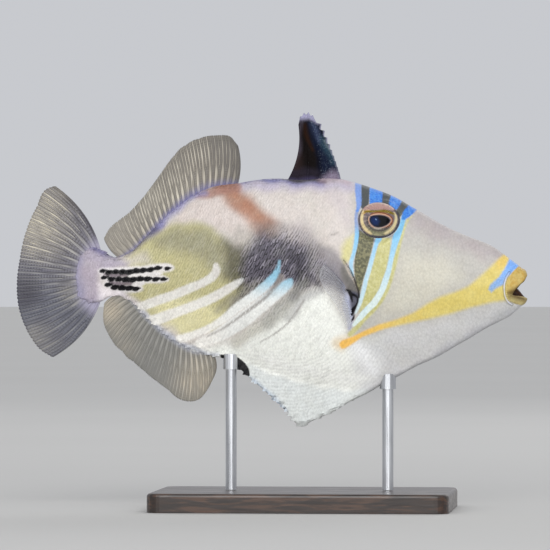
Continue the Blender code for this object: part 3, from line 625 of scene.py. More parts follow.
# crisp markings, by colour: strokes of (column, row, width) and areas of (column, row)
markings = {
    "dark": [
        [(366.2, 180, 9), (365.8, 186, 9.6), (365.2, 193, 8.6), (364.6, 199, 9), (364.6, 206, 8)],
        [(387, 186, 9.5), (386.2, 196, 9.4), (385.4, 206, 9)],
        [(408.2, 199, 10.6), (404.2, 205.6, 9.4), (400.2, 211, 8), (398.4, 215, 5.6)],
        [(357.6, 229), (365, 234), (374, 238), (373.2, 243), (371.6, 250), (369, 260), (366.2, 270),
         (363, 280), (361, 288), (358.8, 294), (357.2, 287), (354.6, 277), (353.9, 266), (355.6, 252),
         (357.8, 240)],
    ],
    "blue": [
        [(358.4, 180, 6.2), (358, 190, 6.2), (358.6, 200, 5.6), (358.6, 206, 4.6), (357.4, 211, 2.6)],
        [(376.6, 183, 13.4), (376, 192, 13.2), (375.4, 206, 12.2)],
        [(398.8, 190, 12.6), (396, 199, 12), (394.2, 205, 9.6), (394.8, 208.6, 4)],
        [(417, 202, 9.5), (411, 209.4, 9), (405.4, 215.4, 7.2), (403.4, 218.4, 4)],
    ],
    "pale": [
        [(359, 205, 3), (357, 211, 3), (355.8, 218, 3), (356.4, 226, 3.4), (356.8, 233, 4), (356.2, 240, 4),
         (354.9, 248, 3.8), (352.8, 256, 3.6), (350.9, 263, 3.8), (351.6, 270, 3.2), (353, 276, 1.6)],
        [(378.6, 239, 6), (376.4, 243, 4.4), (374.6, 249, 3.8), (371.9, 259, 4), (368.9, 270, 4.2),
         (365.9, 280, 4.2), (363.7, 289.6, 4.2), (361.6, 297, 4), (359.6, 303.5, 3.6), (357.2, 309, 2.6),
         (355.4, 313, 1.6)],
        [(403.4, 217.4, 5), (401.2, 226, 4.8), (399.4, 231, 5.4), (396.4, 237, 7.4), (394.8, 243, 6.2),
         (393, 250, 5.4), (390.7, 260, 4.6), (388.6, 270, 5), (385.4, 280, 5.8), (382, 289.6, 5.8),
         (378.4, 296, 6.2), (373.6, 303, 6.4), (367, 309.5, 5.8), (359.5, 318, 5.2), (353.4, 325, 3)],
    ],
    "yellow": [
        [(381, 238), (390.4, 238), (390, 250), (388.2, 260), (385.8, 270), (382.2, 280), (378.8, 289.6),
         (375, 296), (370.3, 302.6), (364, 308.5), (358.6, 313), (360.8, 304), (363.2, 296), (365.5, 289.6),
         (367.8, 280), (370.8, 270), (373.8, 260), (376.4, 250), (378.8, 243)],
        [(412, 215, 2), (407.4, 220.4, 2.4), (404, 227, 2.8), (401.4, 236, 3.6), (398.4, 246, 4),
         (396, 256, 4.4), (393.6, 266, 4.8), (391, 276, 4.8), (387.4, 287, 4.8), (382, 298, 5),
         (374, 308.6, 5), (364, 318.6, 5), (356, 328, 5), (350, 334, 5)],
    ],
    "cheek": [
        [(511, 258), (504, 253.5), (500, 257), (495, 261.6), (488, 268.6), (478, 277.5), (468, 286),
         (457, 291), (440, 296.5), (427, 303.5), (414, 312), (397, 319), (379, 324), (364, 330.5),
         (353, 336), (346.6, 338.4), (342, 340), (339.4, 342.4), (339.4, 345.6), (341.6, 348.2),
         (344.6, 348.2), (351, 344.5), (362, 336.8), (384, 328.6), (405, 323.6), (427, 319), (449, 313.8),
         (471, 307), (492, 301.8), (504, 300.4), (512, 301), (516, 270)],
    ],
    "snout": [
        [(508.6, 258), (519, 264.6), (516.6, 267.6), (513, 271), (510.4, 274), (507, 276.4), (504.4, 279.6),
         (503, 284.6), (498.6, 286.4), (494.6, 288.4), (491, 292.4), (487.6, 289.4), (489.6, 284.6),
         (493.6, 281), (498, 277.2), (501, 273), (504.4, 267.6), (506.8, 262.6)],
    ],
    "lip": [
        [(517.4, 266.4), (511, 272.6), (507.6, 278), (505.8, 284), (505.6, 290), (506.6, 297),
         (509.6, 301.4), (514, 303.6), (520, 305), (530, 306), (534, 290), (530, 266)],
    ],
    "crease": [
        [(508.4, 272.6, 0.6), (506.6, 275.6, 0.9), (504.8, 279.6, 1), (503.6, 284, 1), (503.4, 290, 0.8),
         (504.6, 297, 0.8), (507.4, 301.8, 0.8), (511, 304.4, 0.6)],
    ],
    # painted shade: darker brown round the corner of the mouth
    "gape": [
        [(506.6, 292.6, 1.4), (510.4, 292.8, 5.4), (515, 291, 7), (520, 286.4, 3), (524, 281.6, 1)],
        [(510, 295.6, 3), (517, 297, 4), (524, 299.4, 2.4)],
    ],
    "white": [
        [(216, 265.6, 5.6), (216.2, 271, 8), (212.4, 276.6, 8.4), (204.4, 281.8, 8.2), (190, 288, 8.8),
         (175, 294.4, 9), (160, 299.6, 9.2), (145, 305, 9), (136, 308, 7)],
        [(242, 279.5, 3), (236, 283.8, 7), (229, 288.2, 8.4), (220, 293.6, 9.4), (208, 299.8, 9.6),
         (195, 305.2, 9.6), (180, 310.8, 9.8), (165, 316.4, 11), (152, 321, 10.6)],
        [(279.6, 261, 2), (278.4, 267, 3.4), (276, 274, 6.6), (268.4, 282.8, 8.4), (258.4, 291.8, 8.8),
         (247.4, 300.2, 8.8), (237.2, 307.6, 8.8), (227, 316, 7.8), (216, 323.8, 7), (204, 330.4, 7),
         (192, 335, 7.4), (180, 338.6, 8)],
        [(290.6, 280.2, 4), (289, 283, 8), (284.2, 286.8, 11.2), (276.6, 293.2, 12), (268, 300.2, 12.8),
         (257.4, 308.4, 14.4), (246.4, 316.8, 16), (235.4, 324.6, 15.4), (224.4, 331.4, 14),
         (213.4, 337.4, 12), (200, 343, 9)],
    ],
    "line": [
        [(281, 277, 7), (278.4, 282, 5.6), (273, 289, 4), (266, 296.8, 3.4), (255, 305.4, 3.2),
         (243.6, 313.8, 2.7), (232, 322, 2.1), (220, 330, 1.6), (206, 336.6, 1)],
        [(304, 300, 1.2), (297, 311, 1.6), (290, 320.6, 1.5), (281, 329, 1.6), (271, 336, 1.4),
         (260, 342, 0.8)],
        [(331, 235, 0.8), (334, 234.6, 1.6), (338, 232.6, 0.8)],
    ],
    "halo": [
        [(100.4, 271, 6), (106, 271.4, 7), (120, 271.4, 8), (145, 269.6, 8), (160, 267.6, 8),
         (170, 267.8, 6.6), (172, 268, 4)],
        [(103, 277, 6), (120, 279.4, 7.4), (150, 279, 8), (163, 279, 7), (167, 279.4, 4)],
        [(106, 283.4, 5), (112, 286, 7), (122, 288, 7.4), (138, 288.4, 7), (141, 288.6, 4)],
        [(124, 272), (150, 270), (164, 272), (160, 276), (126, 278)],
        [(130, 281), (148, 281), (142, 286), (130, 287)],
    ],
    "mauve": [
        [(102, 272.4), (114, 273), (128, 273.4), (127, 277.2), (114, 277.8), (104, 276.4)],
        [(107, 280.4), (118, 281.4), (133, 281.4), (131, 285.6), (118, 285.8), (108, 284)],
    ],
    "slit": [
        # painted shade: the dark line inside the gill slit
        [(343.4, 260, 0.8), (346.8, 264.6, 1), (350, 269.2, 1.1), (352, 273.6, 1.4), (354.2, 279, 1.6),
         (356.4, 285.6, 1.8), (358.6, 293, 2), (358.8, 297, 2)],
    ],
    "black": [
        [(219, 354), (225, 354.6), (232, 355.4), (239, 357.6), (245, 362.5), (249, 368.6), (250, 375),
         (246, 378), (239, 373), (230, 365), (221, 357.5)],
        # painted shadow: black in the gill pocket by the pectoral fin's base
        [(344.8, 290, 1.4), (347.6, 290.4, 2.6), (350.4, 293.6, 3.6), (351.4, 298, 2.6), (352.4, 302, 1)],
        [(350.4, 293.6, 2), (354.6, 295.2, 2.4), (357.2, 297.4, 1.8), (357.4, 301.4, 1.6),
         (355.4, 306, 2.2), (353, 309.6, 3.8), (351.6, 314.4, 2.6)],
        [(353.8, 315.6, 1.6), (353.2, 318, 2.2), (351.4, 320.8, 1.5)],
    ],
}

# middles of the black tail spines, row by row
tailSpines = {
    "rows": [
        [(101.6, 270.6), (108.2, 271.6), (115.0, 271.8), (121.8, 271.6), (128.8, 271.4), (135.6, 270.8),
         (142.6, 270.0), (149.8, 269.0), (157.0, 268.0), (166.6, 268.2)],
        [(103.2, 277.2), (110.6, 278.6), (118.0, 279.2), (125.2, 279.2), (132.2, 279.0), (139.6, 278.8),
         (147.0, 278.6), (155.2, 278.6), (162.8, 279.2)],
        [(107.0, 284.4), (114.0, 286.6), (121.2, 287.8), (128.6, 287.8), (135.4, 288.2)],
    ],
    "length": 2.0,
    "radius": 0.98,
}
for rowOfSpines in tailSpines["rows"]:
    for k, (c, r) in enumerate(rowOfSpines):
        lift = 0.5 * math.sin(k * 2.1)
        full = 3.7 + 2.2 * math.sin(math.pi * (k + 0.5) / len(rowOfSpines))
        markings["black"].append([
            (c - 1.6, r + 0.7 + lift, full - 0.8), (c + 0.4, r + 0.3 + lift, full + 0.2),
            (c + 2.8, r, full - 1.6), (c + 5.2, r - 0.5 + 0.5 * lift, 1.4),
        ])
    markings["black"].append([(c + 1.5, r + 0.2, 2) for c, r in rowOfSpines[:-1]])

# three markings to a vector attribute of the mesh
markGroups = {
    "marksA": ("dark", "blue", "pale"), "marksB": ("yellow", "cheek", "white"),
    "marksC": ("line", "halo", "black"), "marksD": ("snout", "lip", "crease"),
    "marksE": ("mauve", "slit", "gape"),
}


def fieldOf(group, column, row):
    return np.max([fieldTo(knots, column, row, 6.0) for knots in markings[group]], axis=0)


def groundAt(column, row, look, waves=1.0):
    colour = np.tile(linear(look["start"]), (len(column), 1))
    wavyColumn = column + 1.3 * waves * np.sin(row * 0.19 + 0.7 * np.sin(column * 0.11))
    wavyRow = row + 1.1 * waves * np.sin(column * 0.23 + 0.8 * np.sin(row * 0.13))
    for knots, name, soft, strength in look["patches"]:
        share = smooth(0.5 + fieldTo(knots, wavyColumn, wavyRow, soft) / (2 * soft))[:, None] * strength
        colour += (linear(name) - colour) * share
    return colour


def paint(mesh, coat=None):
    places = pointsOf(mesh)
    column, row = pixelOf(places)
    keepAttribute(mesh, "tone", groundAt(column, row, ground), "FLOAT_COLOR")
    for name, groups in markGroups.items():
        keepAttribute(mesh, name, np.stack([fieldOf(g, column, row) for g in groups], -1), "FLOAT_VECTOR")
    # how blue the pale stripes are, how orange the cheek band is, and how far down the snout or crown it is
    blueness = np.clip(1 - (row - 238) / np.where(column < 367, 84, 60), 0, 1) * (column > 330)
    blueness -= 0.75 * smooth((364 - column) / 3) * (column > 330) * smooth((216 - row) / 10)
    blueness += (column < 300) * smooth((306 - row) / 34) * smooth((column - 232) / 40) * 0.95
    frontStripes = (column < 320) * smooth((column - 259 + 1.72 * (row - 277)) / 8)
    blueness += 0.1 * frontStripes * smooth((column - 205) / 30) * (column < 300)
    orange = smooth((440 - column) / 110) + 0.32 * smooth((column - 486) / 16) * smooth((276 - row) / 14)
    fading = np.where(column > 460, smooth((row - 266) / 34), smooth((row - 206) / 18))
    fading = np.where(column < 363, smooth((row - 222) / 16), fading)
    # on the rear white stripes fading grows lower down and gives them a lighter white: painted light against the shade
    # of the lower body
    fading = np.where(column < 320, np.maximum(0.6 * smooth((row - 282) / 30), frontStripes), fading)
    keepAttribute(mesh, "tints", np.stack([blueness, orange, fading], -1), "FLOAT_VECTOR")
    # where the scales' edges are darkest
    core = areaField(column, row, [(244, 248), (262, 234), (284, 230), (302, 234), (317, 249), (330, 265),
                                   (334, 284), (300, 288), (262, 290), (240, 300), (236, 270)], 14)
    band = areaField(column, row, [(306, 288), (280, 318), (250, 340), (236, 342), (256, 318), (284, 290)], 8)
    olive = areaField(column, row, [(150, 238), (190, 224), (225, 232), (246, 262), (240, 300), (200, 320),
                                    (150, 312), (125, 290)], 10)
    fleck = np.maximum(smooth(0.5 + core / 28), 0.32 * smooth(0.5 + band / 16))
    fleck = np.maximum(fleck, 0.04 + 0.22 * smooth(0.5 + olive / 20))
    if coat is None:
        # the skin under the scales is painted dark where it shows between them: painted shade
        underScales = smooth((scales["toHead"] - 6 - places[:, 0]) / 10)
        coat = np.full(len(column), 0.5), 0.62 * underScales
    grain, gap = coat
    keepAttribute(mesh, "coat", np.stack([grain, gap, fleck], -1), "FLOAT_VECTOR")
    # fine lines round the belly, like rings in a bowl
    bowl = np.hypot(np.where(column < 292, 0.55, 1.0) * (column - 292), row - 304)
    inBowl = smooth((bowl - 46) / 14) * smooth((124 - bowl) / 16) * smooth((row - 330) / 18)
    keepAttribute(mesh, "bowl", np.stack([bowl, inBowl, 0 * bowl], -1), "FLOAT_VECTOR")


# colours of the skin and its markings; two colours are the ends of a blend
skinColours = {
    "mottle": "#b3a69c", "blotch": "#cfd0c0", "paleScale": "#a39da8", "scaleGap": "#2b2731",
    "halo": "#ebe6e6", "mauve": "#6e5e69", "yellow": ("#d4d090", "#c0bb6f"),
    "cheek": ("#dec968", "#ffc456"), "paleCheek": "#e8d884",
    "crown": "#43484a", "underEye": ("#56563c", "#87835f"),
    "pale": ("#e0eeea", "#88c6ec"), "paleTop": "#93a4cc",
    "white": ("#e3e1db", "#ddd7d1"), "whiteFront": "#faf7f0", "whiteTip": "#98cbe2",
    "line": "#8d8580", "blueFaded": "#88a2db", "blue": ("#1f72d8", "#4c94e4"),
    "snout": ("#6ea8f4", "#8aaace"), "snoutFleck": "#b5d4fb",
    "lip": ("#bf9a45", "#cdb56a"), "lowerLip": ("#b5a166", "#c4b67e"), "gape": "#5a4420",
    "creaseEdge": "#6e6a66", "crease": "#cdd3f0", "slit": "#24211f", "black": "#09080c",
    "mouth": "#1f0d07",
}


def skinMaterial():
    m = Finish("painted_skin", IOR=1.42, Coat_Weight=0.1, Coat_Roughness=0.35, Specular_IOR_Level=0.35)
    colours = skinColours
    fields = {}
    for marks, groups in markGroups.items():
        fields.update(zip(groups, m.parts(marks)))
    blueness, orange, fading = m.parts("tints")
    grain, gap, fleck = m.parts("coat")
    ragged = m.minus(m.noise(1500, 3, 0.6), 0.5)
    soft = m.noise(260, 3, 0.55)
    fine = m.noise(2100, 3, 0.65)

    def mask(field, width, roughEdge=1.2, strength=1.0):
        return m.ramp(m.timesPlus(ragged, roughEdge, field), -width, width, 0.0, strength)

    def noisy(scale, low, high, name):
        return m.mix(m.ramp(m.noise(scale, 3), low, high), *colours[name])

    # mottled ground; scales paler on their raised rear edges and dark in the grooves behind them, partly their own
    # pattern, partly painted highlight and painted shade
    tone = m.attribute("tone", "Color")
    tone = m.mix(m.ramp(soft, 0.3, 0.7, 0.0, 0.22), tone, colours["mottle"], "SOFT_LIGHT")
    tone = m.mix(m.ramp(m.noise(120, 2), 0.45, 0.7, 0.0, 0.12), tone, colours["blotch"])
    uneven = m.minus(m.noise(800, 3, 0.6), 0.5)
    depth = m.timesPlus(uneven, m.times(m.ramp(gap, 0.0, 0.1), 0.8), gap)
    paler = m.times(fleck, m.ramp(grain, 0.4, 1.0, 0.0, 0.7))
    tone = m.mix(m.times(paler, m.ramp(depth, 0.5, 0.15)), tone, colours["paleScale"])
    darkGap = m.times(m.ramp(depth, 0.34, 0.7), m.timesPlus(fleck, 0.88, 0.03))
    tone = m.mix(darkGap, tone, m.mix(0.95, tone, colours["scaleGap"], "MULTIPLY"))

    # the cheek band's orange, the dark and pale bands' change down the face, and the stripes' blue tips
    cheek = m.times(fields["cheek"], m.timesPlus(orange, 1.1, 1.0))
    paleCheek = m.times(m.ramp(soft, 0.35, 0.65, 0.0, 0.45), m.ramp(orange, 0.8, 0.2))
    cheekTone = m.mix(paleCheek, m.mix(orange, *colours["cheek"]), colours["paleCheek"])
    darkTone = m.mix(fading, colours["crown"], noisy(900, 0.4, 0.66, "underEye"))
    paleTone = m.mix(fading, colours["paleTop"], m.mix(blueness, *colours["pale"]))
    whiteTone = m.mix(m.ramp(soft, 0.35, 0.65, 0.0, 0.7), *colours["white"])
    # whiteFront is a lighter white for the front stripes, and lower down as painted light
    whiteTone = m.mix(blueness, m.mix(fading, whiteTone, colours["whiteFront"]), colours["whiteTip"])
    blueTone = m.mix(blueness, colours["blueFaded"], noisy(1100, 0.35, 0.65, "blue"))
    snoutTone = m.mix(fading, *colours["snout"])
    snoutTone = m.mix(m.ramp(fine, 0.4, 0.7, 0.0, 0.3), snoutTone, colours["snoutFleck"])
    lipTone = m.mix(m.ramp(fading, 0.75, 1.0), noisy(500, 0.3, 0.7, "lip"), noisy(500, 0.3, 0.7, "lowerLip"))
    # painted shade: the lips darken to brown round the corner of the mouth
    lipTone = m.mix(mask(fields["gape"], 3.2, 1.5, 0.95), lipTone, colours["gape"])
    # field, half width of its edge, how rough the edge is, strength, colour
    for field, width, roughEdge, strength, colour in (
        (fields["halo"], 1.8, 2.6, 0.9, colours["halo"]),
        (fields["mauve"], 1.4, 1.5, 0.85, colours["mauve"]),
        (fields["yellow"], 1.5, 1.2, 0.88, noisy(700, 0.35, 0.7, "yellow")),
        (cheek, 2.8, 1.8, 0.93, cheekTone),
        (fields["dark"], 0.8, 2.0, 0.95, darkTone),
        (fields["pale"], 0.8, 1.2, 1.0, paleTone),
        (fields["white"], 1.6, 2.8, 0.94, whiteTone),
        (fields["line"], 1.5, 0.8, 0.75, colours["line"]),
        (fields["blue"], 0.9, 2.0, 0.95, blueTone),
        (fields["snout"], 1.5, 2.4, 0.95, snoutTone),
        (fields["lip"], 0.8, 0.8, 0.97, lipTone),
    ):
        tone = m.mix(mask(field, width, roughEdge, strength), tone, colour)
    nearCrease = m.math("ABSOLUTE", m.math("ADD", fields["crease"], 0.8))
    tone = m.mix(m.ramp(nearCrease, 0.9, 0.2, 0.0, 0.45), tone, colours["creaseEdge"])
    tone = m.mix(m.ramp(fields["crease"], -0.4, 0.4, 0.0, 0.9), tone, colours["crease"])
    # painted shade in the gill slit
    tone = m.mix(m.ramp(fields["slit"], -0.6, 0.5, 0.0, 0.85), tone, colours["slit"])
    # black: the fish's own black marks, and painted shadow in the gill pocket
    tone = m.mix(mask(fields["black"], 0.7, 1.0), tone, colours["black"])
    # painted shade: the lips' inner side, rolling into the mouth, painted near black brown
    tone = m.mix(m.ramp(m.parts("inside")[0], 0.15, 0.75), tone, colours["mouth"])

    # every scale a little lighter or darker, rings on the belly, and a fine grain
    bowl, inBowl, _ = m.parts("bowl")
    rings = m.times(m.math("SINE", m.timesPlus(soft, 6.0, m.times(bowl, 1.85))), inBowl)
    cells = m.add("TexVoronoi", {"Vector": m.place((1.15, 0.6, 0.85)), "Scale": 950}).outputs["Distance"]
    shade = m.timesPlus(m.minus(grain, 0.5), 0.15, 1.0)
    shade = m.timesPlus(m.minus(fine, 0.5), 0.27, shade)
    shade = m.timesPlus(rings, 0.045, shade)
    shade = m.timesPlus(m.minus(cells, 0.4), -0.2, shade)
    shaded = m.add("HueSaturation", {"Value": shade, "Color": tone}).outputs[0]
    m.set(Base_Color=shaded, Roughness=m.ramp(m.noise(1800, 3), 0.25, 0.75, 0.38, 0.55))
    m.bump(m.timesPlus(cells, -0.6, m.times(fine, 0.35)), 0.00018, 0.8)
    return m.material


# scales of the body: small raised plates in rows that lean forwards as they rise
scales = {
    "fromTail": -83.0,
    "toHead": 36.0,
    "columnStep": 1.2,
    "rowStep": 2.25,
    "slope": 1.9,         # rise of the leaning rows
    "middleHeight": 99.0,
    "rearLift": 0.15,
    "patch": 0.0012,      # half the size of a scale's patch of the unwrapped skin
}

skinPaint = skinMaterial()
skinPiece = finishPiece(
    "skin", surfaceFrom(wholeSkin, {"inside": insideLayer}), skinPaint,
    ["head", "torso", "tail_stalk", "ventral_flap", "lips"],
)
paint(skinPiece.data)
print("skin:", len(skinPiece.data.polygons), "faces")

# one scale: a thin plate, highest at its rear edge, which turns down to the skin
def scaleForm():
    form = bmesh.new()
    bmesh.ops.create_grid(form, x_segments=5, y_segments=4, size=0.5)
    for v in form.verts:
        along, across = v.co.x + 0.5, v.co.y * 2.16
        rear = 0.3 * across ** 2 - 1.1
        if along < 0.1:
            v.co = (rear - 0.12, across, -0.9)
        else:
            w = max(along - 0.2, 0) / 0.8
            v.co = (rear + (1.25 - rear) * w, across, (1 - 1.9 * w ** 1.1) * (1 - 0.4 * across ** 2))
    return form


ringX = rightHalf[:len(rightHalf) - skin["snoutRings"], 0, 0]
ringSteps = np.linalg.norm(np.diff(rightHalf, axis=1), axis=2)
ringArc = np.concatenate([np.zeros((len(rightHalf), 1)), np.cumsum(ringSteps, axis=1)], axis=1)


# places on the right half of the skin at one distance along, by height along the skin
def skinColumn(x):
    i = int(np.clip(np.searchsorted(ringX, x) - 1, 0, len(ringX) - 2))
    w = (x - ringX[i]) / (ringX[i + 1] - ringX[i])
    mix = lambda rows: rows[i] * (1 - w) + rows[i + 1] * w
    return mix(rightHalf), mix(outward), mix(ringArc)


def scaleRoots():
    roots, ways, widths = [], [], []
    rng = np.random.default_rng(11)
    stations = np.arange(scales["fromTail"], scales["toHead"], scales["columnStep"])
    for k, x in enumerate(stations):
        places, facing, arc = skinColumn(x)
        middle = np.interp(scales["middleHeight"], places[:, 2], arc)
        step = scales["rowStep"]
        phase = (k * scales["columnStep"] * scales["slope"]) % step
        rows = np.arange(math.floor(-middle / step), math.ceil((arc[-1] - middle) / step))
        at = middle + rows * step + phase + rng.uniform(-0.2, 0.2, len(rows))
        at += 0.5 * np.sin(0.5 * at + 0.35 * x + 1.2 * math.sin(0.17 * x)) + 0.4 * np.sin(0.23 * at - 0.6 * x)
        at = at[(at > (1.7 if x < 0 else 0.6)) & (at < arc[-1] - 0.5)]
        roots.append(np.stack([np.interp(at, arc, places[:, c]) for c in range(3)], -1))
        ways.append(np.stack([np.interp(at, arc, facing[:, c]) for c in range(3)], -1))
        widths.append(np.interp(at, arc, np.arange(len(arc)) / (len(arc) - 1)))
    return np.concatenate(roots), unit(np.concatenate(ways)), np.concatenate(widths)


def coatPiece(name, side):
    roots, facing, around = scaleRoots()
    turned = np.array([1, side, 1])
    roots, facing = roots * turned, facing * turned
    rng = np.random.default_rng(5 + side)
    forward = unit(np.array([1.0, 0, 0]) - facing * facing[:, :1])
    up = np.cross(facing, forward) * (1 if side < 0 else -1)
    count = len(roots)
    roots = roots + forward * rng.uniform(-0.13, 0.13, count)[:, None]
    up = up + forward * (1 / scales["slope"] + rng.uniform(-0.14, 0.14, count))[:, None]
    x, z = roots[:, 0], roots[:, 2]
    low = (1 - smooth((x - scales["toHead"] + 12) / 12)) * (1 - 0.4 * smooth((-76 - x) / 7))
    size = rng.uniform(0.86, 1.14, count)
    halfAlong = scales["rowStep"] / scales["slope"] / 2
    halfUp = scales["columnStep"] * scales["slope"] / 2 * 1.12
    lift = scales["rearLift"] * rng.uniform(0.6, 1.4, count) * (0.45 + 0.55 * smooth((z - 56) / 14))
    sizes = (size * halfAlong, size * halfUp, lift)
    sunk = roots - facing * (0.3 * (1 - low))[:, None]
    form = scaleForm()
    points = np.array([v.co for v in form.verts])
    rear = 0.3 * points[:, 1] ** 2 - 1.1
    depth = np.where(points[:, 0] < rear - 0.01, 1, (points[:, 0] - rear) / (1.25 - rear))
    mesh, corners = joinedCopies(name, form, sunk, (forward, up, facing), sizes)
    piece = placePiece(name, mesh, skinPaint)
    # paler and darker runs of scales
    runs = np.sin((x - z / scales["slope"]) * 1.1 + 1.5 * np.sin(z * 0.5 + x * 0.3))
    grain = np.repeat(np.clip(0.5 + 0.22 * runs + rng.normal(0, 0.2, count), 0, 1), corners)
    # depth runs from a scale's raised rear edge to where it dives under the next; the material paints shade in the deep
    # part
    paint(mesh, (grain, np.tile(depth, count) * np.repeat(low, corners)))
    # each scale's patch of the unwrapped skin
    patch = mesh.uv_layers.new(name="OFBake")
    loops = np.zeros(len(mesh.loops), np.int32)
    mesh.loops.foreach_get("vertex_index", loops)
    root = np.stack([(x + 90) / 210, around / 2 if side < 0 else 1 - around / 2], -1)
    places = (root[:, None] + points[None, :, :2] * scales["patch"]).reshape(-1, 2)
    patch.data.foreach_set("uv", places[loops].astype(np.float32).ravel())
    print(name + ":", len(mesh.polygons), "faces")
    return piece


coatPiece("scales_right", -1)
coatPiece("scales_left", 1)


def fan(root, margin, bulge):
    rootAt, marginAt = pathThrough(root), pathThrough(margin)

    def place(t, v):
        a, b = rootAt(t), marginAt(t)
        chord = b - a
        side = np.stack([chord[..., 1], -chord[..., 0]], -1) / np.linalg.norm(chord, axis=-1, keepdims=True)
        control = (a + b) / 2 + side * 2 * (bulge[0] + bulge[1] * t)[..., None]
        v = v[..., None]
        return a * (1 - v) ** 2 + control * 2 * v * (1 - v) + b * v * v

    return place


fins = {
    "soft_dorsal_fin": {
        "root": [(-15.5, 136.0), (-26.0, 134.4), (-35.5, 130.2), (-44.0, 123.6), (-53.0, 114.4),
                 (-59.0, 108.4), (-63.5, 106.2)],
        "margin": [(-14.4, 155.6), (-17.5, 159.6), (-25.0, 160.4), (-33.5, 158.4), (-41.5, 152.0),
                   (-48.5, 143.0), (-55.5, 133.8), (-63.0, 126.0), (-70.0, 120.4), (-72.3, 116.0)],
        "bulge": (1.6, -3.0), "rays": 25, "sway": (1.6, 1.5, 0.1), "forks": (0.34, 0.74),
        "thick": (0.85, 0.30), "columns": 14, "rows": 34, "fray": 0.5, "seed": 3,
        "streaks": [(-41, 137, 14, .8), (-56, 122, 12, .9), (-28, 146, 9, .2), (-53, 133, 9, 1.3)],
        "shades": [(-58, 115, 5, .5), (-54, 119, 5, .4)],
        "look": {
            "web": ("#8d867c", "#cbc3b3"), "bone": "#6f6b67", "line": "#3d3936", "cream": "#e6dfcd",
            "base": ("#7d7ba8", 0.08, 0.3), "edge": "#6a6663", "clear": (0.95, 0.74),
            "washes": [("#6b6864", 0.3, 0.0, 0.5), ("#9f998f", 0.7, 0.95, 0.6)],
        },
    },
    "anal_fin": {
        "root": [(-25.5, 67.6), (-34.5, 70.4), (-43.5, 75.4), (-52.0, 83.0), (-58.5, 90.0), (-63.5, 92.6)],
        "margin": [(-24.6, 57.0), (-28.0, 50.6), (-31.8, 46.4), (-37.5, 46.2), (-46.5, 52.4),
                   (-55.0, 59.0), (-63.0, 65.6), (-69.0, 72.0), (-72.6, 80.0), (-72.2, 88.0)],
        "bulge": (-1.4, 2.6), "rays": 23, "sway": (1.3, 1.3, 0.35), "forks": (0.36, 0.76),
        "thick": (0.85, 0.30), "columns": 14, "rows": 34, "fray": 0.45, "seed": 4,
        "streaks": [(-70, 84.6, 6, 1.5), (-67, 78, 7, .5), (-31, 55, 10, .8), (-64, 70, 6, .4)],
        "look": {
            "comb": 0.06, "web": ("#8a8984", "#b1aea6"), "bone": "#777570", "line": "#56544f",
            "cream": "#decfb5",
            "base": ("#b4b7c2", 0.05, 0.2), "edge": "#6e675f", "clear": (0.95, 0.74), "wash": 0.28,
            "washes": [("#868581", 0.2, 0.45, 0.5)],
        },
    },
    "caudal_fin": {
        "root": [(-73.5, 110.4), (-77.6, 106.2), (-79.4, 100.2), (-77.6, 94.2), (-73.5, 89.8)],
        "margin": [(-93.4, 138.6), (-96.8, 137.4), (-102.6, 128.4), (-106.6, 117.6), (-109.2, 104.6),
                   (-110.0, 93.6), (-108.6, 84.0), (-104.8, 74.6), (-99.6, 68.0), (-94.6, 64.8)],
        "bulge": (3.2, -6.4), "rays": 14, "sway": (1.0, 1.0, 0.0), "forks": (0.2, 0.5),
        "thick": (0.95, 0.30), "columns": 28, "rows": 36, "fray": 0.35, "seed": 6,
        "streaks": [(-101, 121, 12, 1.5), (-97, 130, 10, 1.2), (-93, 135, 7, .9),
                    (-86.5, 93.5, 6, .5), (-101, 108, 9, .2), (-100, 75, 9, .7)],
        "shades": [(-106.5, 88, 9, .5), (-106, 98, 8, .4), (-96, 77, 6, .3)],
        "look": {
            "web": ("#5a5861", "#a6a4a4"), "bone": "#716f78", "line": "#3c3a43", "cream": "#e2d9c2",
            "base": ("#aca7bb", 0.05, 0.26), "edge": "#3c3942", "clear": (0.96, 0.76),
            "washes": [("#595e6a", 0.4, 0.75, 0.45)], "wash": 0.22, "lowerBase": 0.06,
        },
    },
}
pectoral = {
    "root": [(34.2, 93.6), (35.0, 90.2), (35.5, 86.4), (35.5, 82.0)],
    "margin": [(24.2, 105.4), (22.2, 102.0), (22.4, 98.2), (24.8, 93.6), (27.6, 90.0), (30.0, 86.2),
               (31.8, 82.0), (33.0, 78.8), (34.6, 77.8)],
    "bulge": (0.7, -0.9), "rays": 13, "forks": (0.3, 0.7), "thick": (0.7, 0.26), "columns": 14,
    "rows": 26, "fray": 0.3, "seed": 8, "streaks": [(35, 88, 3, .4)],
    "shades": [(24, 102, 9, .35), (31, 98, 6, .3), (34.8, 94.4, 3.4, 1)],
    "look": {
        "web": ("#e9e9e8", "#f6f6f4"), "bone": "#d3d3d7", "line": "#96979f", "cream": "#f8f8f5",
        "base": ("#c3c9dc", 0.06, 0.4), "edge": "#6c6e7c", "clear": (0.36, 0.05), "washes": [],
        "joints": 0.0, "rayCover": 0.22, "rim": 0.34,
    },
}


# how far from the middle of the nearest branch of a ray, in shares of a ray's width
def branchGap(ray, v, forks):
    gap = np.abs(ray - np.floor(ray) - 0.5)
    gap = np.abs(gap - 0.235 * smooth((v - forks[0]) / 0.2))
    return np.abs(gap - 0.115 * smooth((v - forks[1]) / 0.22))


def branchHeight(ray, v, forks):
    width = 0.17 - 0.05 * smooth((v - forks[0]) / 0.2) - 0.045 * smooth((v - forks[1]) / 0.22)
    return bump(branchGap(ray, v, forks), width)


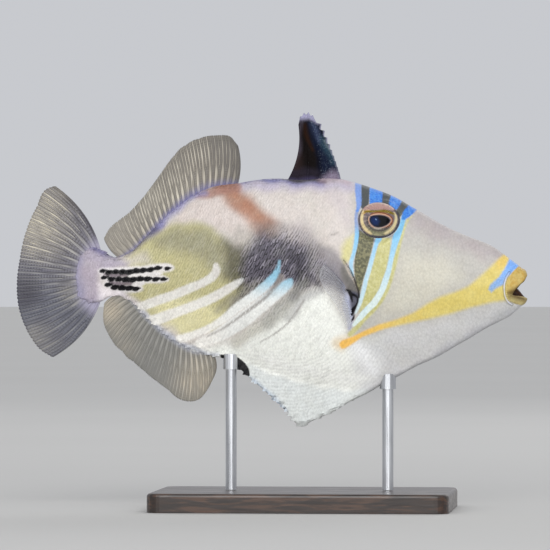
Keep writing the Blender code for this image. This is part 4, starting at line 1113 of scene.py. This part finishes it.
def finPiece(name, form, middle, material, replaced):
    place = fan(form["root"], form["margin"], form["bulge"])
    across, rows = form["rays"] * form["columns"], form["rows"]
    rng = np.random.default_rng(form["seed"])
    k = np.arange(2 * across + 1)
    t = np.where(k <= across, k, 2 * across - k) / across
    side = np.where(k <= across, 1.0, -1.0)
    v = np.concatenate([np.linspace(0, 1, rows) ** 0.9, [1.0]])
    t, v = np.meshgrid(t, v)
    side = np.broadcast_to(side, t.shape)
    ray = t * form["rays"]
    ridge = branchHeight(ray, v, form["forks"])
    lengths = np.interp(ray, np.arange(form["rays"] + 1), rng.normal(0, 0.35, form["rays"] + 1))
    reach = np.linalg.norm(place(t, np.ones(t.shape)) - place(t, np.zeros(t.shape)), axis=-1)
    longer = (form["fray"] * (ridge - 0.75) + 0.4 * lengths) / reach
    spot = place(t, v + longer * v ** 6)
    rootHalf, edgeHalf = form["thick"]
    rayHalf = rootHalf + (edgeHalf - rootHalf) * v ** 0.8
    web = 0.17 + 0.25 * (1 - v) ** 5
    half = web + (rayHalf - web) * ridge
    fromEdge = np.minimum(ray, form["rays"] - ray) / 0.22
    half = half * np.sqrt(1 - (1 - np.clip(fromEdge, 0, 1)) ** 2)
    half[-1] = 0
    y = middle(t, v, spot[..., 0], spot[..., 1]) + side * half
    places = np.stack([spot[..., 0], y, spot[..., 1]], -1)
    streak = np.zeros(t.shape)
    for x, z, width, strength in form["streaks"]:
        near = bump(np.hypot(spot[..., 0] - x, spot[..., 1] - z), width) * strength
        streak = np.maximum(streak, near)
    for x, z, width, strength in form.get("shades", []):
        streak = streak - bump(np.hypot(spot[..., 0] - x, spot[..., 1] - z), width) * strength
    layers = {"ray": np.stack([ray, v, streak], -1)}
    return finishPiece(name, surfaceFrom(places, layers), material, replaced)


def finMaterial(name, form):
    m = Finish(name, IOR=1.4, Specular_IOR_Level=0.25)
    look = form["look"]
    ray, v, streak = m.parts("ray")

    def forkShift(start, width, amount):
        return m.ramp(v, start, start + width, 0.0, amount)

    def alongRays(across, along, detail=2.0):
        place = m.add("CombineXYZ", {0: m.times(ray, across),
                                             1: m.times(v, along)}).outputs[0]
        return m.add("TexNoise", {"Vector": place, "Scale": 1.0, "Detail": detail}).outputs[0]

    gap = m.math("ABSOLUTE", m.minus(m.math("FRACT", ray), 0.5))
    gap = m.math("ABSOLUTE", m.minus(gap, forkShift(form["forks"][0], 0.2, 0.235)))
    gap = m.math("ABSOLUTE", m.minus(gap, forkShift(form["forks"][1], 0.22, 0.115)))
    # fine cross joints along the rays, and streaks that follow them
    joints = m.times(m.math("SINE", m.times(v, 155.0)), look.get("joints", 1.0))
    wide, thin = alongRays(1.7, 2.0), alongRays(11.0, 5.0, 3.0)
    width = m.minus(m.minus(0.27, forkShift(form["forks"][0], 0.2, 0.13)),
                 forkShift(form["forks"][1], 0.22, 0.065))
    fromSide = m.minus(m.timesPlus(joints, 0.006, gap), width)
    onRay = m.ramp(fromSide, 0.02, -0.02)
    atEdge = m.ramp(m.math("ABSOLUTE", fromSide), 0.035, 0.008)
    tone = m.mix(m.ramp(m.timesPlus(wide, 0.7, m.times(thin, 0.5)),
                                  0.42, 0.78), *look["web"])
    creamy = m.times(streak, m.ramp(thin, 0.4, 0.62))
    tone = m.mix(m.times(creamy, m.ramp(wide, 0.35, 0.55, 0.25, 1.0)), tone, look["cream"])
    jointed = m.times(m.ramp(joints, -0.2, 0.8), m.ramp(wide, 0.4, 0.6, 0.25, 0.95))
    bone = m.mix(jointed, look["bone"], look["line"])
    tone = m.mix(m.times(onRay, 0.8), tone, bone)
    tone = m.mix(m.times(atEdge, m.ramp(thin, 0.3, 0.6, 0.75, 0.35)), tone, look["line"])
    for colour, start, end, strength in look["washes"]:
        washed = m.ramp(ray, start * form["rays"], end * form["rays"], 0.0, strength)
        tone = m.mix(washed, tone, colour)
    tone = m.mix(m.ramp(ray, 0.42, 0.12, 0.0, 0.8), tone, look["edge"])
    frontLines = m.times(atEdge, m.ramp(ray, 5.0, 1.5, 0.0, 0.55))
    tone = m.mix(frontLines, tone, look["line"])
    colour, start, end = look["base"]
    tone = m.mix(m.times(streak, look.get("wash", 0.12)), tone, look["cream"])
    tone = m.mix(m.ramp(streak, -0.1, -0.9, 0.0, 0.95), tone, look["edge"])
    comb = look.get("comb", 0.24)
    less = m.ramp(ray, 0.6 * form["rays"], 0.85 * form["rays"], comb / 2, comb / 2 + look.get("lowerBase", 0))
    fromBase = m.timesPlus(thin, comb, m.minus(v, less))
    fromBase = m.ramp(fromBase, start, end, 0.92, 0.0)
    tone = m.mix(fromBase, tone, colour)
    m.set(Base_Color=tone)
    inner, outer = look["clear"]
    alpha = m.timesPlus(onRay, look.get("rayCover", 0.2), m.ramp(v, 0.0, 1.0, inner, outer))
    alpha = m.math("MAXIMUM", fromBase, alpha)
    if look.get("rim"):
        alpha = m.math("MAXIMUM", alpha, m.ramp(v, 0.9, 0.97, 0.0, look["rim"]))
    m.set(Alpha=m.math("MINIMUM", alpha, 1.0))
    m.set(Roughness=m.ramp(thin, 0.2, 0.8, 0.42, 0.6))
    height = m.timesPlus(onRay, 0.8, m.times(thin, 0.5))
    m.bump(height, 0.00015, 0.6)
    return m.material


def waveOf(size, turns, start):
    return lambda t, v, x, z: size * v ** 1.5 * np.sin(2 * math.pi * (turns * t + start))


for finName, form in fins.items():
    finFinish = finMaterial(finName + "_web", form)
    finMade = finPiece(finName + "_rays", form, waveOf(*form["sway"]), finFinish, [finName])
    print(finMade.name + ":", len(finMade.data.polygons), "faces")

pectoralWeb = finMaterial("pectoral_web", pectoral)
for side, word in ((-1, "right"), (1, "left")):
    standOff = lambda t, v, x, z, side=side: side * (halfWidth(x, z) - 1.6 + 5.0 * v ** 0.8)
    finPiece("pectoral_rays_" + word, pectoral, standOff, pectoralWeb, ["pectoral_fin_" + word])
print("pectoral fins")

firstDorsal = {
    "root": [(30.6, 138.2), (22.0, 137.8), (13.0, 137.6), (5.2, 138.4)],
    "margin": [(18.4, 167.2), (15.8, 169.0), (13.0, 168.2), (11.6, 164.4)],
    "bulge": (1.3, 1.3),
    "columns": 72, "rows": 96,
    # teeth down the front of the spine: how high up it, how far out in mm
    "teeth": [(0.2, 0.2), (0.28, 0.3), (0.36, 0.4), (0.44, 0.5), (0.527, 0.7), (0.61, 1.0), (0.71, 1.1),
              (0.816, 1.6), (0.92, 1.9)],
    "prongs": [17.7, 15.9, 14.0, 12.2],  # places along of the brush at its tip
    "start": "#0f0908",
    # colours by place in the photograph's frame
    "patches": [
        ([(318, 124), (326, 140), (340, 170), (346, 184), (322, 184), (318, 160), (312, 138),
          (306, 124)], "#101930", 5, 0.95),
        # painted sheen: a teal band down the middle of the spine, and a painted highlight line along it
        ([(322, 138, 4), (327, 150, 6), (333, 163, 6)], "#2b4453", 4, 0.8),
        ([(325.6, 140, 1.4), (330.6, 152, 1.6), (336, 163, 2), (341.6, 174, 2)], "#7c8b93", 1.6, 0.7),
        ([(324, 176), (332, 172), (339, 174), (348, 188), (322, 188)], "#877b8e", 5, 0.95),
        ([(296, 108), (324, 110), (322, 121), (316, 124), (308, 121), (297, 121)], "#a9a6c3", 3, 0.9),
        ([(311, 125, 4), (316, 133, 5), (320, 141, 3)], "#454f6c", 3, 0.65),
        ([(300, 124, 4), (299, 145, 5), (293, 164, 7)], "#4a434d", 3, 0.8),
        ([(290, 157), (299, 155), (305, 176), (284, 176)], "#352726", 5, 0.7),
        ([(304, 126, 3), (308, 138, 4), (312, 150, 3)], "#2a160a", 2, 0.8),
        ([(284, 168), (322, 170), (322, 178), (282, 178)], "#2a2530", 4, 0.8),
        ([(280, 178), (322, 178.6), (322, 188), (280, 188)], "#4c4664", 3, 0.85),
    ],
}


def firstDorsalPiece():
    form = firstDorsal
    place = fan(form["root"], form["margin"], form["bulge"])
    across, rows = form["columns"], form["rows"]
    k = np.arange(2 * across + 1)
    t = np.where(k <= across, k, 2 * across - k) / across
    t = np.where(t < 0.5, t * t * 2, t)  # closer columns round the spine
    side = np.where(k <= across, 1.0, -1.0)
    t, v = np.meshgrid(t, np.linspace(0, 1, rows + 1))
    side = np.broadcast_to(side, t.shape)
    spot = place(t, v)
    # saw teeth down the front, larger towards the tip, and a brush of prongs on top
    below = 0.1
    for top, reach in form["teeth"]:
        rise = np.clip((v - below) / (top - below), 0, 1)
        spot[..., 0] += reach * rise ** 1.5 * (v <= top) * bump(t, 0.08)
        below = top
    for x in form["prongs"]:
        spot[..., 1] += 1.1 * bump(spot[..., 0] - x, 0.5) * smooth((v - 0.94) / 0.06)
    spineHalf = (2.4 - 1.3 * v) * np.sqrt(np.clip(1 - ((t - 0.17) / 0.235) ** 2, 0, 1))
    second = 0.75 * (1 - v / 0.72) * bump(t - 0.62, 0.022)
    third = 0.55 * (1 - v / 0.45) * bump(t - 0.83, 0.02)
    half = np.maximum(0.24, np.maximum(spineHalf, 0.24 + np.maximum(second, third)))
    rng = np.random.default_rng(21)
    pits = rng.random((rows + 1, across + 1))
    pits = (pits + np.roll(pits, 1, 0) + np.roll(pits, 1, 1)) / 3
    pits = np.concatenate([pits, pits[:, -2::-1]], axis=1)
    half += 0.3 * (pits - 0.5) * (t < 0.38) * (half > 0.5)
    folds = 0.35 * np.sin(v * 9 + t * 14) * smooth((t - 0.42) / 0.2) * v
    half = half * np.sqrt(1 - (1 - np.clip(np.minimum(t, 1 - t) / 0.02, 0, 1)) ** 2)
    half[-1] = 0
    places = np.stack([spot[..., 0], folds + side * half, spot[..., 1]], -1)
    layers = {"ray": np.stack([t, v, half], -1)}
    piece = finishPiece("first_dorsal", surfaceFrom(places, layers), spinyMaterial(),
                        ["spiny_dorsal_fin"])
    column, row = pixelOf(pointsOf(piece.data))
    keepAttribute(piece.data, "tone", groundAt(column, row, form), "FLOAT_COLOR")
    return piece


def spinyMaterial():
    m = Finish("spiny_fin_skin", IOR=1.42, Specular_IOR_Level=0.08)
    tone = m.attribute("tone", "Color")
    t, v, half = m.parts("ray")
    specks = m.noise(1700, 3, 0.65)
    onSpine = m.ramp(half, 0.45, 0.9)
    pale = m.times(onSpine, m.ramp(specks, 0.56, 0.7, 0.0, 0.4))
    tone = m.mix(pale, tone, "#93a0a8")
    # pale lavender down the toothed front edge, stronger higher up: partly pale teeth, partly painted highlight
    onEdge = m.times(m.ramp(t, 0.05, 0.0), m.ramp(v, 0.35, 0.7, 0.3, 0.9))
    tone = m.mix(onEdge, tone, "#a9a8c0")
    tone = m.mix(m.ramp(specks, 0.5, 0.3, 0.0, 0.4), tone, "#0b090b")
    m.set(Base_Color=tone, Roughness=m.ramp(specks, 0.3, 0.7, 0.45, 0.7))
    m.bump(specks, 0.0003, 0.7)
    return m.material


dorsalPiece = firstDorsalPiece()
print("first dorsal fin:", len(dorsalPiece.data.polygons), "faces")


def thornForm(segments=7):
    form = bmesh.new()
    bmesh.ops.create_cone(form, cap_ends=False, segments=segments, radius1=1.0, radius2=0.12, depth=1.0)
    bmesh.ops.subdivide_edges(form, edges=[e for e in form.edges if abs(e.verts[0].co.z - e.verts[1].co.z) > 0.5],
                              cuts=2)
    for v in form.verts:
        rise = v.co.z + 0.5
        v.co.z = rise
        v.co.x += 1.5 * rise ** 2   # bent forwards
    return form


def trianglesOnly(form):
    bmesh.ops.holes_fill(form, edges=form.edges, sides=0)
    bmesh.ops.triangulate(form, faces=form.faces)
    form.verts.index_update()
    return form


def spineMaterial():
    m = Finish("black_spines", IOR=1.5, Specular_IOR_Level=0.2)
    tone = m.mix(m.ramp(m.noise(1500, 2), 0.4, 0.7), "#050407", "#14121a")
    m.set(Base_Color=tone, Roughness=m.ramp(m.noise(2500, 2), 0.3, 0.7, 0.4, 0.6))
    m.bump(m.noise(4000, 2), 0.00008, 0.5)
    return m.material


def tailSpinesPiece():
    origins, forwards, ups, outs = [], [], [], []
    for spineRow in tailSpines["rows"]:
        for c, r in spineRow:
            z = (shot["floorRow"] - r) * shot["mmPerPixel"]
            x = (c - shot["middleColumn"]) * shot["mmPerPixel"]
            x += float(halfWidth(x, z)) * math.tan(math.radians(shot["azimuth"]))
            for side in (-1, 1):
                place, out, forward, up = sideFrame(x, z, side)
                origins.append(place - out * 0.45)
                forwards.append(forward)
                ups.append(up)
                outs.append(out)
    ways = tuple(np.array(w) for w in (forwards, ups, outs))
    rng = np.random.default_rng(2)
    size = rng.uniform(0.88, 1.12, len(origins))
    sizes = (size * tailSpines["radius"], size * tailSpines["radius"] * 0.8, size * tailSpines["length"])
    mesh, _ = joinedCopies("tail_spines", trianglesOnly(thornForm()), np.array(origins), ways, sizes)
    return placePiece("tail_spines", mesh, spineMaterial())


tailSpinesPiece()
print("tail spines")

# the eye's colours, by place in the photograph's frame: knots, colour, softness, strength
eyePaint = {
    "middle": (378.8, 220.4),
    "upright": 0.948,   # how much its height is foreshortened
    "bulge": (1.8, -2.6),   # how far the camera sees the dome's middle from its flat place
    "start": "#73676a",
    "pupil": [(370, 219), (371.2, 216.6), (373.8, 215.4), (380, 215), (385.4, 215.8), (388.8, 217.6),
              (390.6, 220.2), (389.6, 222.6), (386.8, 224.9), (382, 226.8), (377.6, 227.3), (374.2, 226.4),
              (371.4, 224), (370, 221.6)],
    "lid": [(362, 210.4), (366, 205.6), (371.6, 203), (380, 202), (387.4, 203.4), (393.6, 207.2),
            (399, 213.8), (394, 211.2), (388, 210.2), (378, 210), (368, 210.2)],
    "patches": [
        ([(364, 226), (370, 236), (378, 238), (388, 236), (395, 228), (386, 229), (378, 230),
          (370, 228)], "#7b7a62", 3, 1),
        ([(363.6, 211.6, 2.2), (362, 217, 2.8), (361.8, 222, 3), (363.4, 227, 3.2), (366.4, 231, 3),
          (370, 233.6, 2.4)], "#dcc897", 0.9, 1),
        ([(374, 234.6, 1.8), (380, 235.2, 1.4)], "#a09b7c", 0.8, 1),
        ([(384, 233.8, 2), (388, 231.8, 2.8), (391.6, 228.8, 3), (394.4, 224.8, 3), (396, 220.4, 2.6),
          (396.2, 216.6, 2.2), (394.6, 213.4, 1.8)], "#d2c397", 0.9, 1),
        ([(364.2, 213.6, 1.8), (366.6, 211.4, 1.8), (370, 210.6, 1.4)], "#c9a060", 0.8, 0.9),
        ([(362, 210.4), (366, 205.6), (371.6, 203), (380, 202), (387.4, 203.4), (393.6, 207.2),
          (399, 213.8), (394, 211.2), (388, 210.2), (378, 210), (368, 210.2)], "#b18f89", 0.8, 1),
        # painted highlight along the top edge of the upper lid
        ([(366.6, 207, 1.4), (372, 204.2, 1.6), (380, 203.4, 1.6), (387, 204.8, 1.6),
          (393, 208.6, 1.4)], "#d2bfb2", 1, 0.8),
        ([(368, 209, 1), (378, 208.6, 1.2), (388, 209, 1)], "#9d7a76", 1, 0.6),
        ([(363, 207.6, 1.8), (359.8, 213, 2), (358.4, 220, 2.2), (359.4, 227, 2.2), (362.8, 232.6, 2.2),
          (368.4, 236, 2.6), (376, 237.4, 2.6), (384, 236.8, 2.6), (391.4, 233.8, 2.6), (396.8, 227.6, 3.2),
          (399, 220.4, 3.2), (398, 214, 3), (395, 210.4, 2)], "#4a4a57", 0.9, 1),
        ([(365, 212.4, 1.4), (370, 211.8, 2), (378, 211.4, 2), (384, 211.2, 2.6), (390, 212.4, 2.6),
          (394, 214.4, 1.6)], "#78661f", 0.7, 1),
        ([(371.6, 214.6, 1.2), (376, 213.2, 1.8), (384, 213.4, 2), (389, 215.4, 1.8), (392.2, 218.8, 1.6),
          (392, 222, 1.8), (389.6, 225.4, 1.8), (386.4, 227.6, 1.6)], "#7f4a30", 0.7, 1),
        ([(368, 217, 1.6), (367.6, 221.6, 2.4), (368.8, 226, 2.4), (372, 229.4, 2), (378, 230.9, 2),
          (384, 229.8, 1.8), (388.4, 227, 1.4)], "#4a4544", 0.8, 0.85),
        ([(371, 215.8, 0.7), (375, 214.4, 1), (381, 213.9, 1), (386, 214.9, 1), (390, 217.2, 0.9),
          (391.8, 220.2, 0.8), (390.4, 223, 0.7), (387.2, 225.8, 0.6), (382, 227.8, 0.5), (378, 228.5, 0.8),
          (374.2, 227.7, 0.8), (371, 225.4, 0.8), (369.2, 222.4, 0.8), (368.9, 219, 0.8),
          (369.8, 216.8, 0.6)], "#d0a489", 0.5, 1),
        ([(374.3, 228.2, 1), (378, 228.9, 1.2), (381, 228.3, 0.8)], "#aaa59a", 0.5, 1),
        ([(370, 219), (371.2, 216.6), (373.8, 215.4), (380, 215), (385.4, 215.8), (388.8, 217.6),
          (390.6, 220.2), (389.6, 222.6), (386.8, 224.9), (382, 226.8), (377.6, 227.3), (374.2, 226.4),
          (371.4, 224), (370, 221.6)], "#03050b", 0.45, 1),
        # painted reflection: a navy-blue sheen in the left of the pupil
        ([(371, 219), (373, 216.8), (378, 217), (380, 221), (378, 225), (374, 225),
          (371.4, 222)], "#0a2458", 2.2, 0.8),
        # painted highlight: a small pale-blue glint in the pupil
        ([(376.2, 218.9, 0.9), (377, 219.5, 0.8)], "#7f9cc4", 0.5, 0.9),
    ],
}


def eyeMaterial():
    m = Finish("eye_finish", IOR=1.33, Coat_Weight=0.06, Coat_Roughness=0.04, Specular_IOR_Level=0.08)
    tone = m.attribute("tone", "Color")
    angle, rim, pupil = m.parts("iris")
    streaks = m.add("TexNoise", {
        "Vector": m.add("CombineXYZ", {0: m.times(angle, 9.0), 1: rim, 2: 0.0}).outputs[0],
        "Scale": 3.0, "Detail": 3.0,
    }).outputs[0]
    ringLines = m.math("SINE", m.times(rim, 70.0))
    lines = m.timesPlus(ringLines, 0.06, streaks)
    onIris = m.ramp(pupil, 0.4, 1.2)
    dark = m.times(onIris, m.ramp(lines, 0.5, 0.72, 0.0, 0.35))
    tone = m.mix(dark, tone, "#4a3b34")
    pale = m.times(onIris, m.ramp(lines, 0.46, 0.3, 0.0, 0.25))
    tone = m.mix(pale, tone, "#e8d9b6")
    m.set(Base_Color=tone, Roughness=m.ramp(streaks, 0.3, 0.7, 0.16, 0.3))
    m.bump(m.times(lines, onIris), 0.00012, 0.4)
    return m.material


def eyePiece(side, word, material):
    place, out, forward, up = sideFrame(*eye["place"], side)
    rings, around = 64, 208
    rim, angle = np.meshgrid(np.linspace(0, 1, rings + 1), np.linspace(0, 2 * math.pi, around + 1), indexing="ij")
    a = eye["globe"][0] * rim * np.cos(angle)
    b = eye["globe"][1] * rim * np.sin(angle)
    rise = 1 - rim.ravel() ** 2
    column = eyePaint["middle"][0] + a.ravel() / shot["mmPerPixel"] + eyePaint["bulge"][0] * rise
    row = eyePaint["middle"][1] - b.ravel() * eyePaint["upright"] / shot["mmPerPixel"]
    row = row + eyePaint["bulge"][1] * rise
    colour = groundAt(column, row, eyePaint, 0.0).reshape(a.shape + (3,))
    pupil = -areaField(column, row, eyePaint["pupil"], 6).reshape(a.shape)
    lid = areaField(column, row, eyePaint["lid"], 6).reshape(a.shape)
    # a domed globe; the iris stands a little proud round a flatter lens, under the upper lid
    c = eye["globe"][2] * np.sqrt(np.clip(1 - rim ** 2.4, 0, 1)) - eye["sunk"]
    c += 0.16 * bump(pupil - 1.0, 1.1) + 0.3 * smooth((lid + 0.8) / 1.6) * smooth((0.98 - rim) / 0.2)
    last = c[-1] - 1.2
    a, b, c = (np.concatenate([w, e]) for w, e in ((a, a[-1:] * 0.9), (b, b[-1:] * 0.9), (c, last[None])))
    closing = np.zeros((1, around + 1))
    a, b, c = (np.concatenate([w, e]) for w, e in ((a, closing), (b, closing), (c, closing + c[-1, 0])))
    places = place + a[..., None] * forward + b[..., None] * up + c[..., None] * out
    more = lambda w: np.concatenate([w, w[-1:], w[-1:]])
    layers = {"iris": np.stack([more(np.cos(angle)), more(rim), more(pupil)], -1), "paint": more(colour)}
    piece = finishPiece("eyeball_" + word, surfaceFrom(places, layers), material, ["eye_" + word])
    stored = np.zeros(len(piece.data.vertices) * 3, np.float32)
    piece.data.attributes["paint"].data.foreach_get("vector", stored)
    keepAttribute(piece.data, "tone", stored.reshape(-1, 3), "FLOAT_COLOR")
    return piece


eyeFinish = eyeMaterial()
for side, word in ((-1, "right"), (1, "left")):
    eyePiece(side, word, eyeFinish)
print("eyes")

# the floor of the mouth, which fills the gap between the lips
mouthFloor = {
    # along, height of the top, half width
    "rings": [(100.0, 95.4, 3.2), (102.0, 95.7, 3.4), (103.6, 95.6, 3.1), (105.0, 94.9, 2.7),
              (106.2, 93.8, 2.3), (107.2, 92.5, 1.9), (108.1, 91.4, 1.4), (108.8, 90.6, 0.8)],
    "bottom": 89.6,
}


def mouthFloorPiece():
    m = Finish("shaded_mouth_lining", IOR=1.4, Specular_IOR_Level=0.3)
    front, height = m.parts("inner")[:2]
    # painted shade: the floor is near black brown, the shade inside the mouth; it turns lighter brown higher up and tan
    # at the front
    mottle = m.noise(900, 3)
    tone = m.mix(m.ramp(mottle, 0.35, 0.65), "#241006", "#3d210c")
    tone = m.mix(m.ramp(height, 0.3, 0.9), tone, "#6b4a1c")
    tone = m.mix(m.ramp(front, 0.55, 1.0), tone, "#b3937c")
    m.set(Base_Color=tone, Roughness=m.ramp(mottle, 0.3, 0.7, 0.35, 0.5))
    m.bump(mottle, 0.0002, 0.6)
    angle = np.linspace(0, 2 * math.pi, 33)
    rings = np.array(mouthFloor["rings"])
    rings = np.concatenate([rings[:1], rings, rings[-1:]])
    half = rings[:, 2].copy()
    half[0] = half[-1] = 0
    tall = (rings[:, 1] - mouthFloor["bottom"]) / 2
    tall[0] = tall[-1] = 0
    middle = (rings[:, 1] + mouthFloor["bottom"]) / 2
    places = np.stack([np.broadcast_to(rings[:, :1], (len(rings), 33)), half[:, None] * np.cos(angle),
                       middle[:, None] + tall[:, None] * np.sin(angle)], -1)
    front = np.clip((places[..., 0] - 103) / 6, 0, 1) * np.clip(1 - np.abs(places[..., 1]) / 2, 0, 1)
    inner = np.stack([front, np.clip((places[..., 2] - 92) / 4, 0, 1), front * 0], -1)
    return finishPiece("mouth_floor", surfaceFrom(places, {"inner": inner}), m.material)


mouthFloorPiece()
print("mouth floor")


# stand
def woodMaterial():
    m = Finish("dark_stained_wood", Coat_Weight=0.35, Coat_Roughness=0.2)
    place = m.add("TexCoord").outputs["Object"]
    place = m.add("Mapping", {"Vector": place, "Scale": (1.0, 9.0, 9.0)}).outputs[0]
    bend = m.add("TexNoise", {"Vector": place, "Scale": 14.0, "Detail": 4.0}).outputs[0]
    grain = m.add("TexNoise", {"Vector": place, "Scale": 60.0, "Detail": 6.0, "Distortion": 0.6}).outputs[0]
    rings = m.math("SINE", m.times(bend, 60.0))
    tone = m.mix(m.ramp(rings, -0.9, 0.9), "#2b1d15", "#4a3223")
    tone = m.mix(m.ramp(grain, 0.42, 0.6, 0.0, 0.7), tone, "#1c120d")
    m.set(Base_Color=tone, Roughness=m.ramp(grain, 0.3, 0.7, 0.32, 0.5))
    m.bump(grain, 0.0002, 0.35)
    return m.material


def steelMaterial():
    m = Finish("brushed_steel", Metallic=1.0)
    lines = m.noise(900, 3, 0.6, (1, 1, 0.03))
    m.set(Base_Color=m.mix(m.ramp(lines, 0.35, 0.65), "#b9bbbf", "#d9dbde"))
    m.set(Roughness=m.ramp(lines, 0.3, 0.7, 0.24, 0.42))
    m.bump(lines, 0.00005, 0.4)
    return m.material


wood, steel = woodMaterial(), steelMaterial()
nodes["stand_base"].material_slots[0].material = wood
for rodName in ("stand_rod_front", "stand_rod_rear"):
    nodes[rodName].material_slots[0].material = steel
print("stand")


def stageFloor():
    bm = bmesh.new()
    bmesh.ops.create_circle(bm, cap_ends=True, segments=96, radius=14.0)
    mesh = bpy.data.meshes.new("floor")
    bm.to_mesh(mesh)
    bm.free()
    floor = bpy.data.objects.new("floor", mesh)
    bpy.context.scene.collection.objects.link(floor)
    m = Finish("pale_floor", Roughness=0.85)
    tone = m.mix(m.ramp(m.noise(3, 3), 0.3, 0.7, 0.0, 0.15), "#c9c8c5", "#bdbcb9")
    m.set(Base_Color=tone)
    mesh.materials.append(m.material)
    floor.location.z = -0.0002


def softLight(name, place, target, size, power, colour=(1, 1, 1)):
    data = bpy.data.lights.new(name, "AREA")
    data.shape, data.size, data.energy, data.color = "DISK", size, power, colour
    lamp = bpy.data.objects.new(name, data)
    lamp.location = place
    lamp.rotation_euler = (Vector(target) - Vector(place)).to_track_quat("-Z", "Y").to_euler()
    bpy.context.scene.collection.objects.link(lamp)


def lightsAndCamera():
    world = bpy.data.worlds.new("studio")
    bpy.context.scene.world = world
    world.use_nodes = True
    world.node_tree.nodes["Background"].inputs[0].default_value = (0.93, 0.95, 1.0, 1)
    world.node_tree.nodes["Background"].inputs[1].default_value = 0.62
    sun = bpy.data.lights.new("skylight", "SUN")
    sun.energy, sun.angle = 1.05, math.radians(40)
    lamp = bpy.data.objects.new("skylight", sun)
    lamp.rotation_euler = Vector((-0.2, 1.0, -0.62)).to_track_quat("-Z", "Y").to_euler()
    bpy.context.scene.collection.objects.link(lamp)
    softLight("key", (-0.35, -1.6, 0.55), (0, 0, 0.1), 1.0, 6)
    softLight("fill", (0.25, -1.3, 0.08), (0, 0, 0.08), 0.9, 3)
    softLight("behind", (0.5, 1.3, 1.0), (0, 0, 0.1), 0.9, 3)
    data = bpy.data.cameras.new("camera")
    cam = bpy.data.objects.new("camera", data)
    bpy.context.scene.collection.objects.link(cam)
    turn = math.radians(shot["azimuth"])
    scale, size = shot["mmPerPixel"], shot["frameSize"]
    target = Vector(((size / 2 - shot["middleColumn"]) * scale, 0, (shot["floorRow"] - size / 2) * scale)) * mm
    back = Vector((math.sin(turn), -math.cos(turn), 0))
    cam.location = target + back * shot["distance"] * mm
    cam.rotation_euler = (-back).to_track_quat("-Z", "Y").to_euler()
    data.sensor_width = 36
    data.lens = 36 * shot["distance"] / (size * scale * math.cos(turn))
    data.clip_start, data.clip_end = 0.05, 60
    bpy.context.scene.camera = cam


stageFloor()
lightsAndCamera()
print("lights and camera")
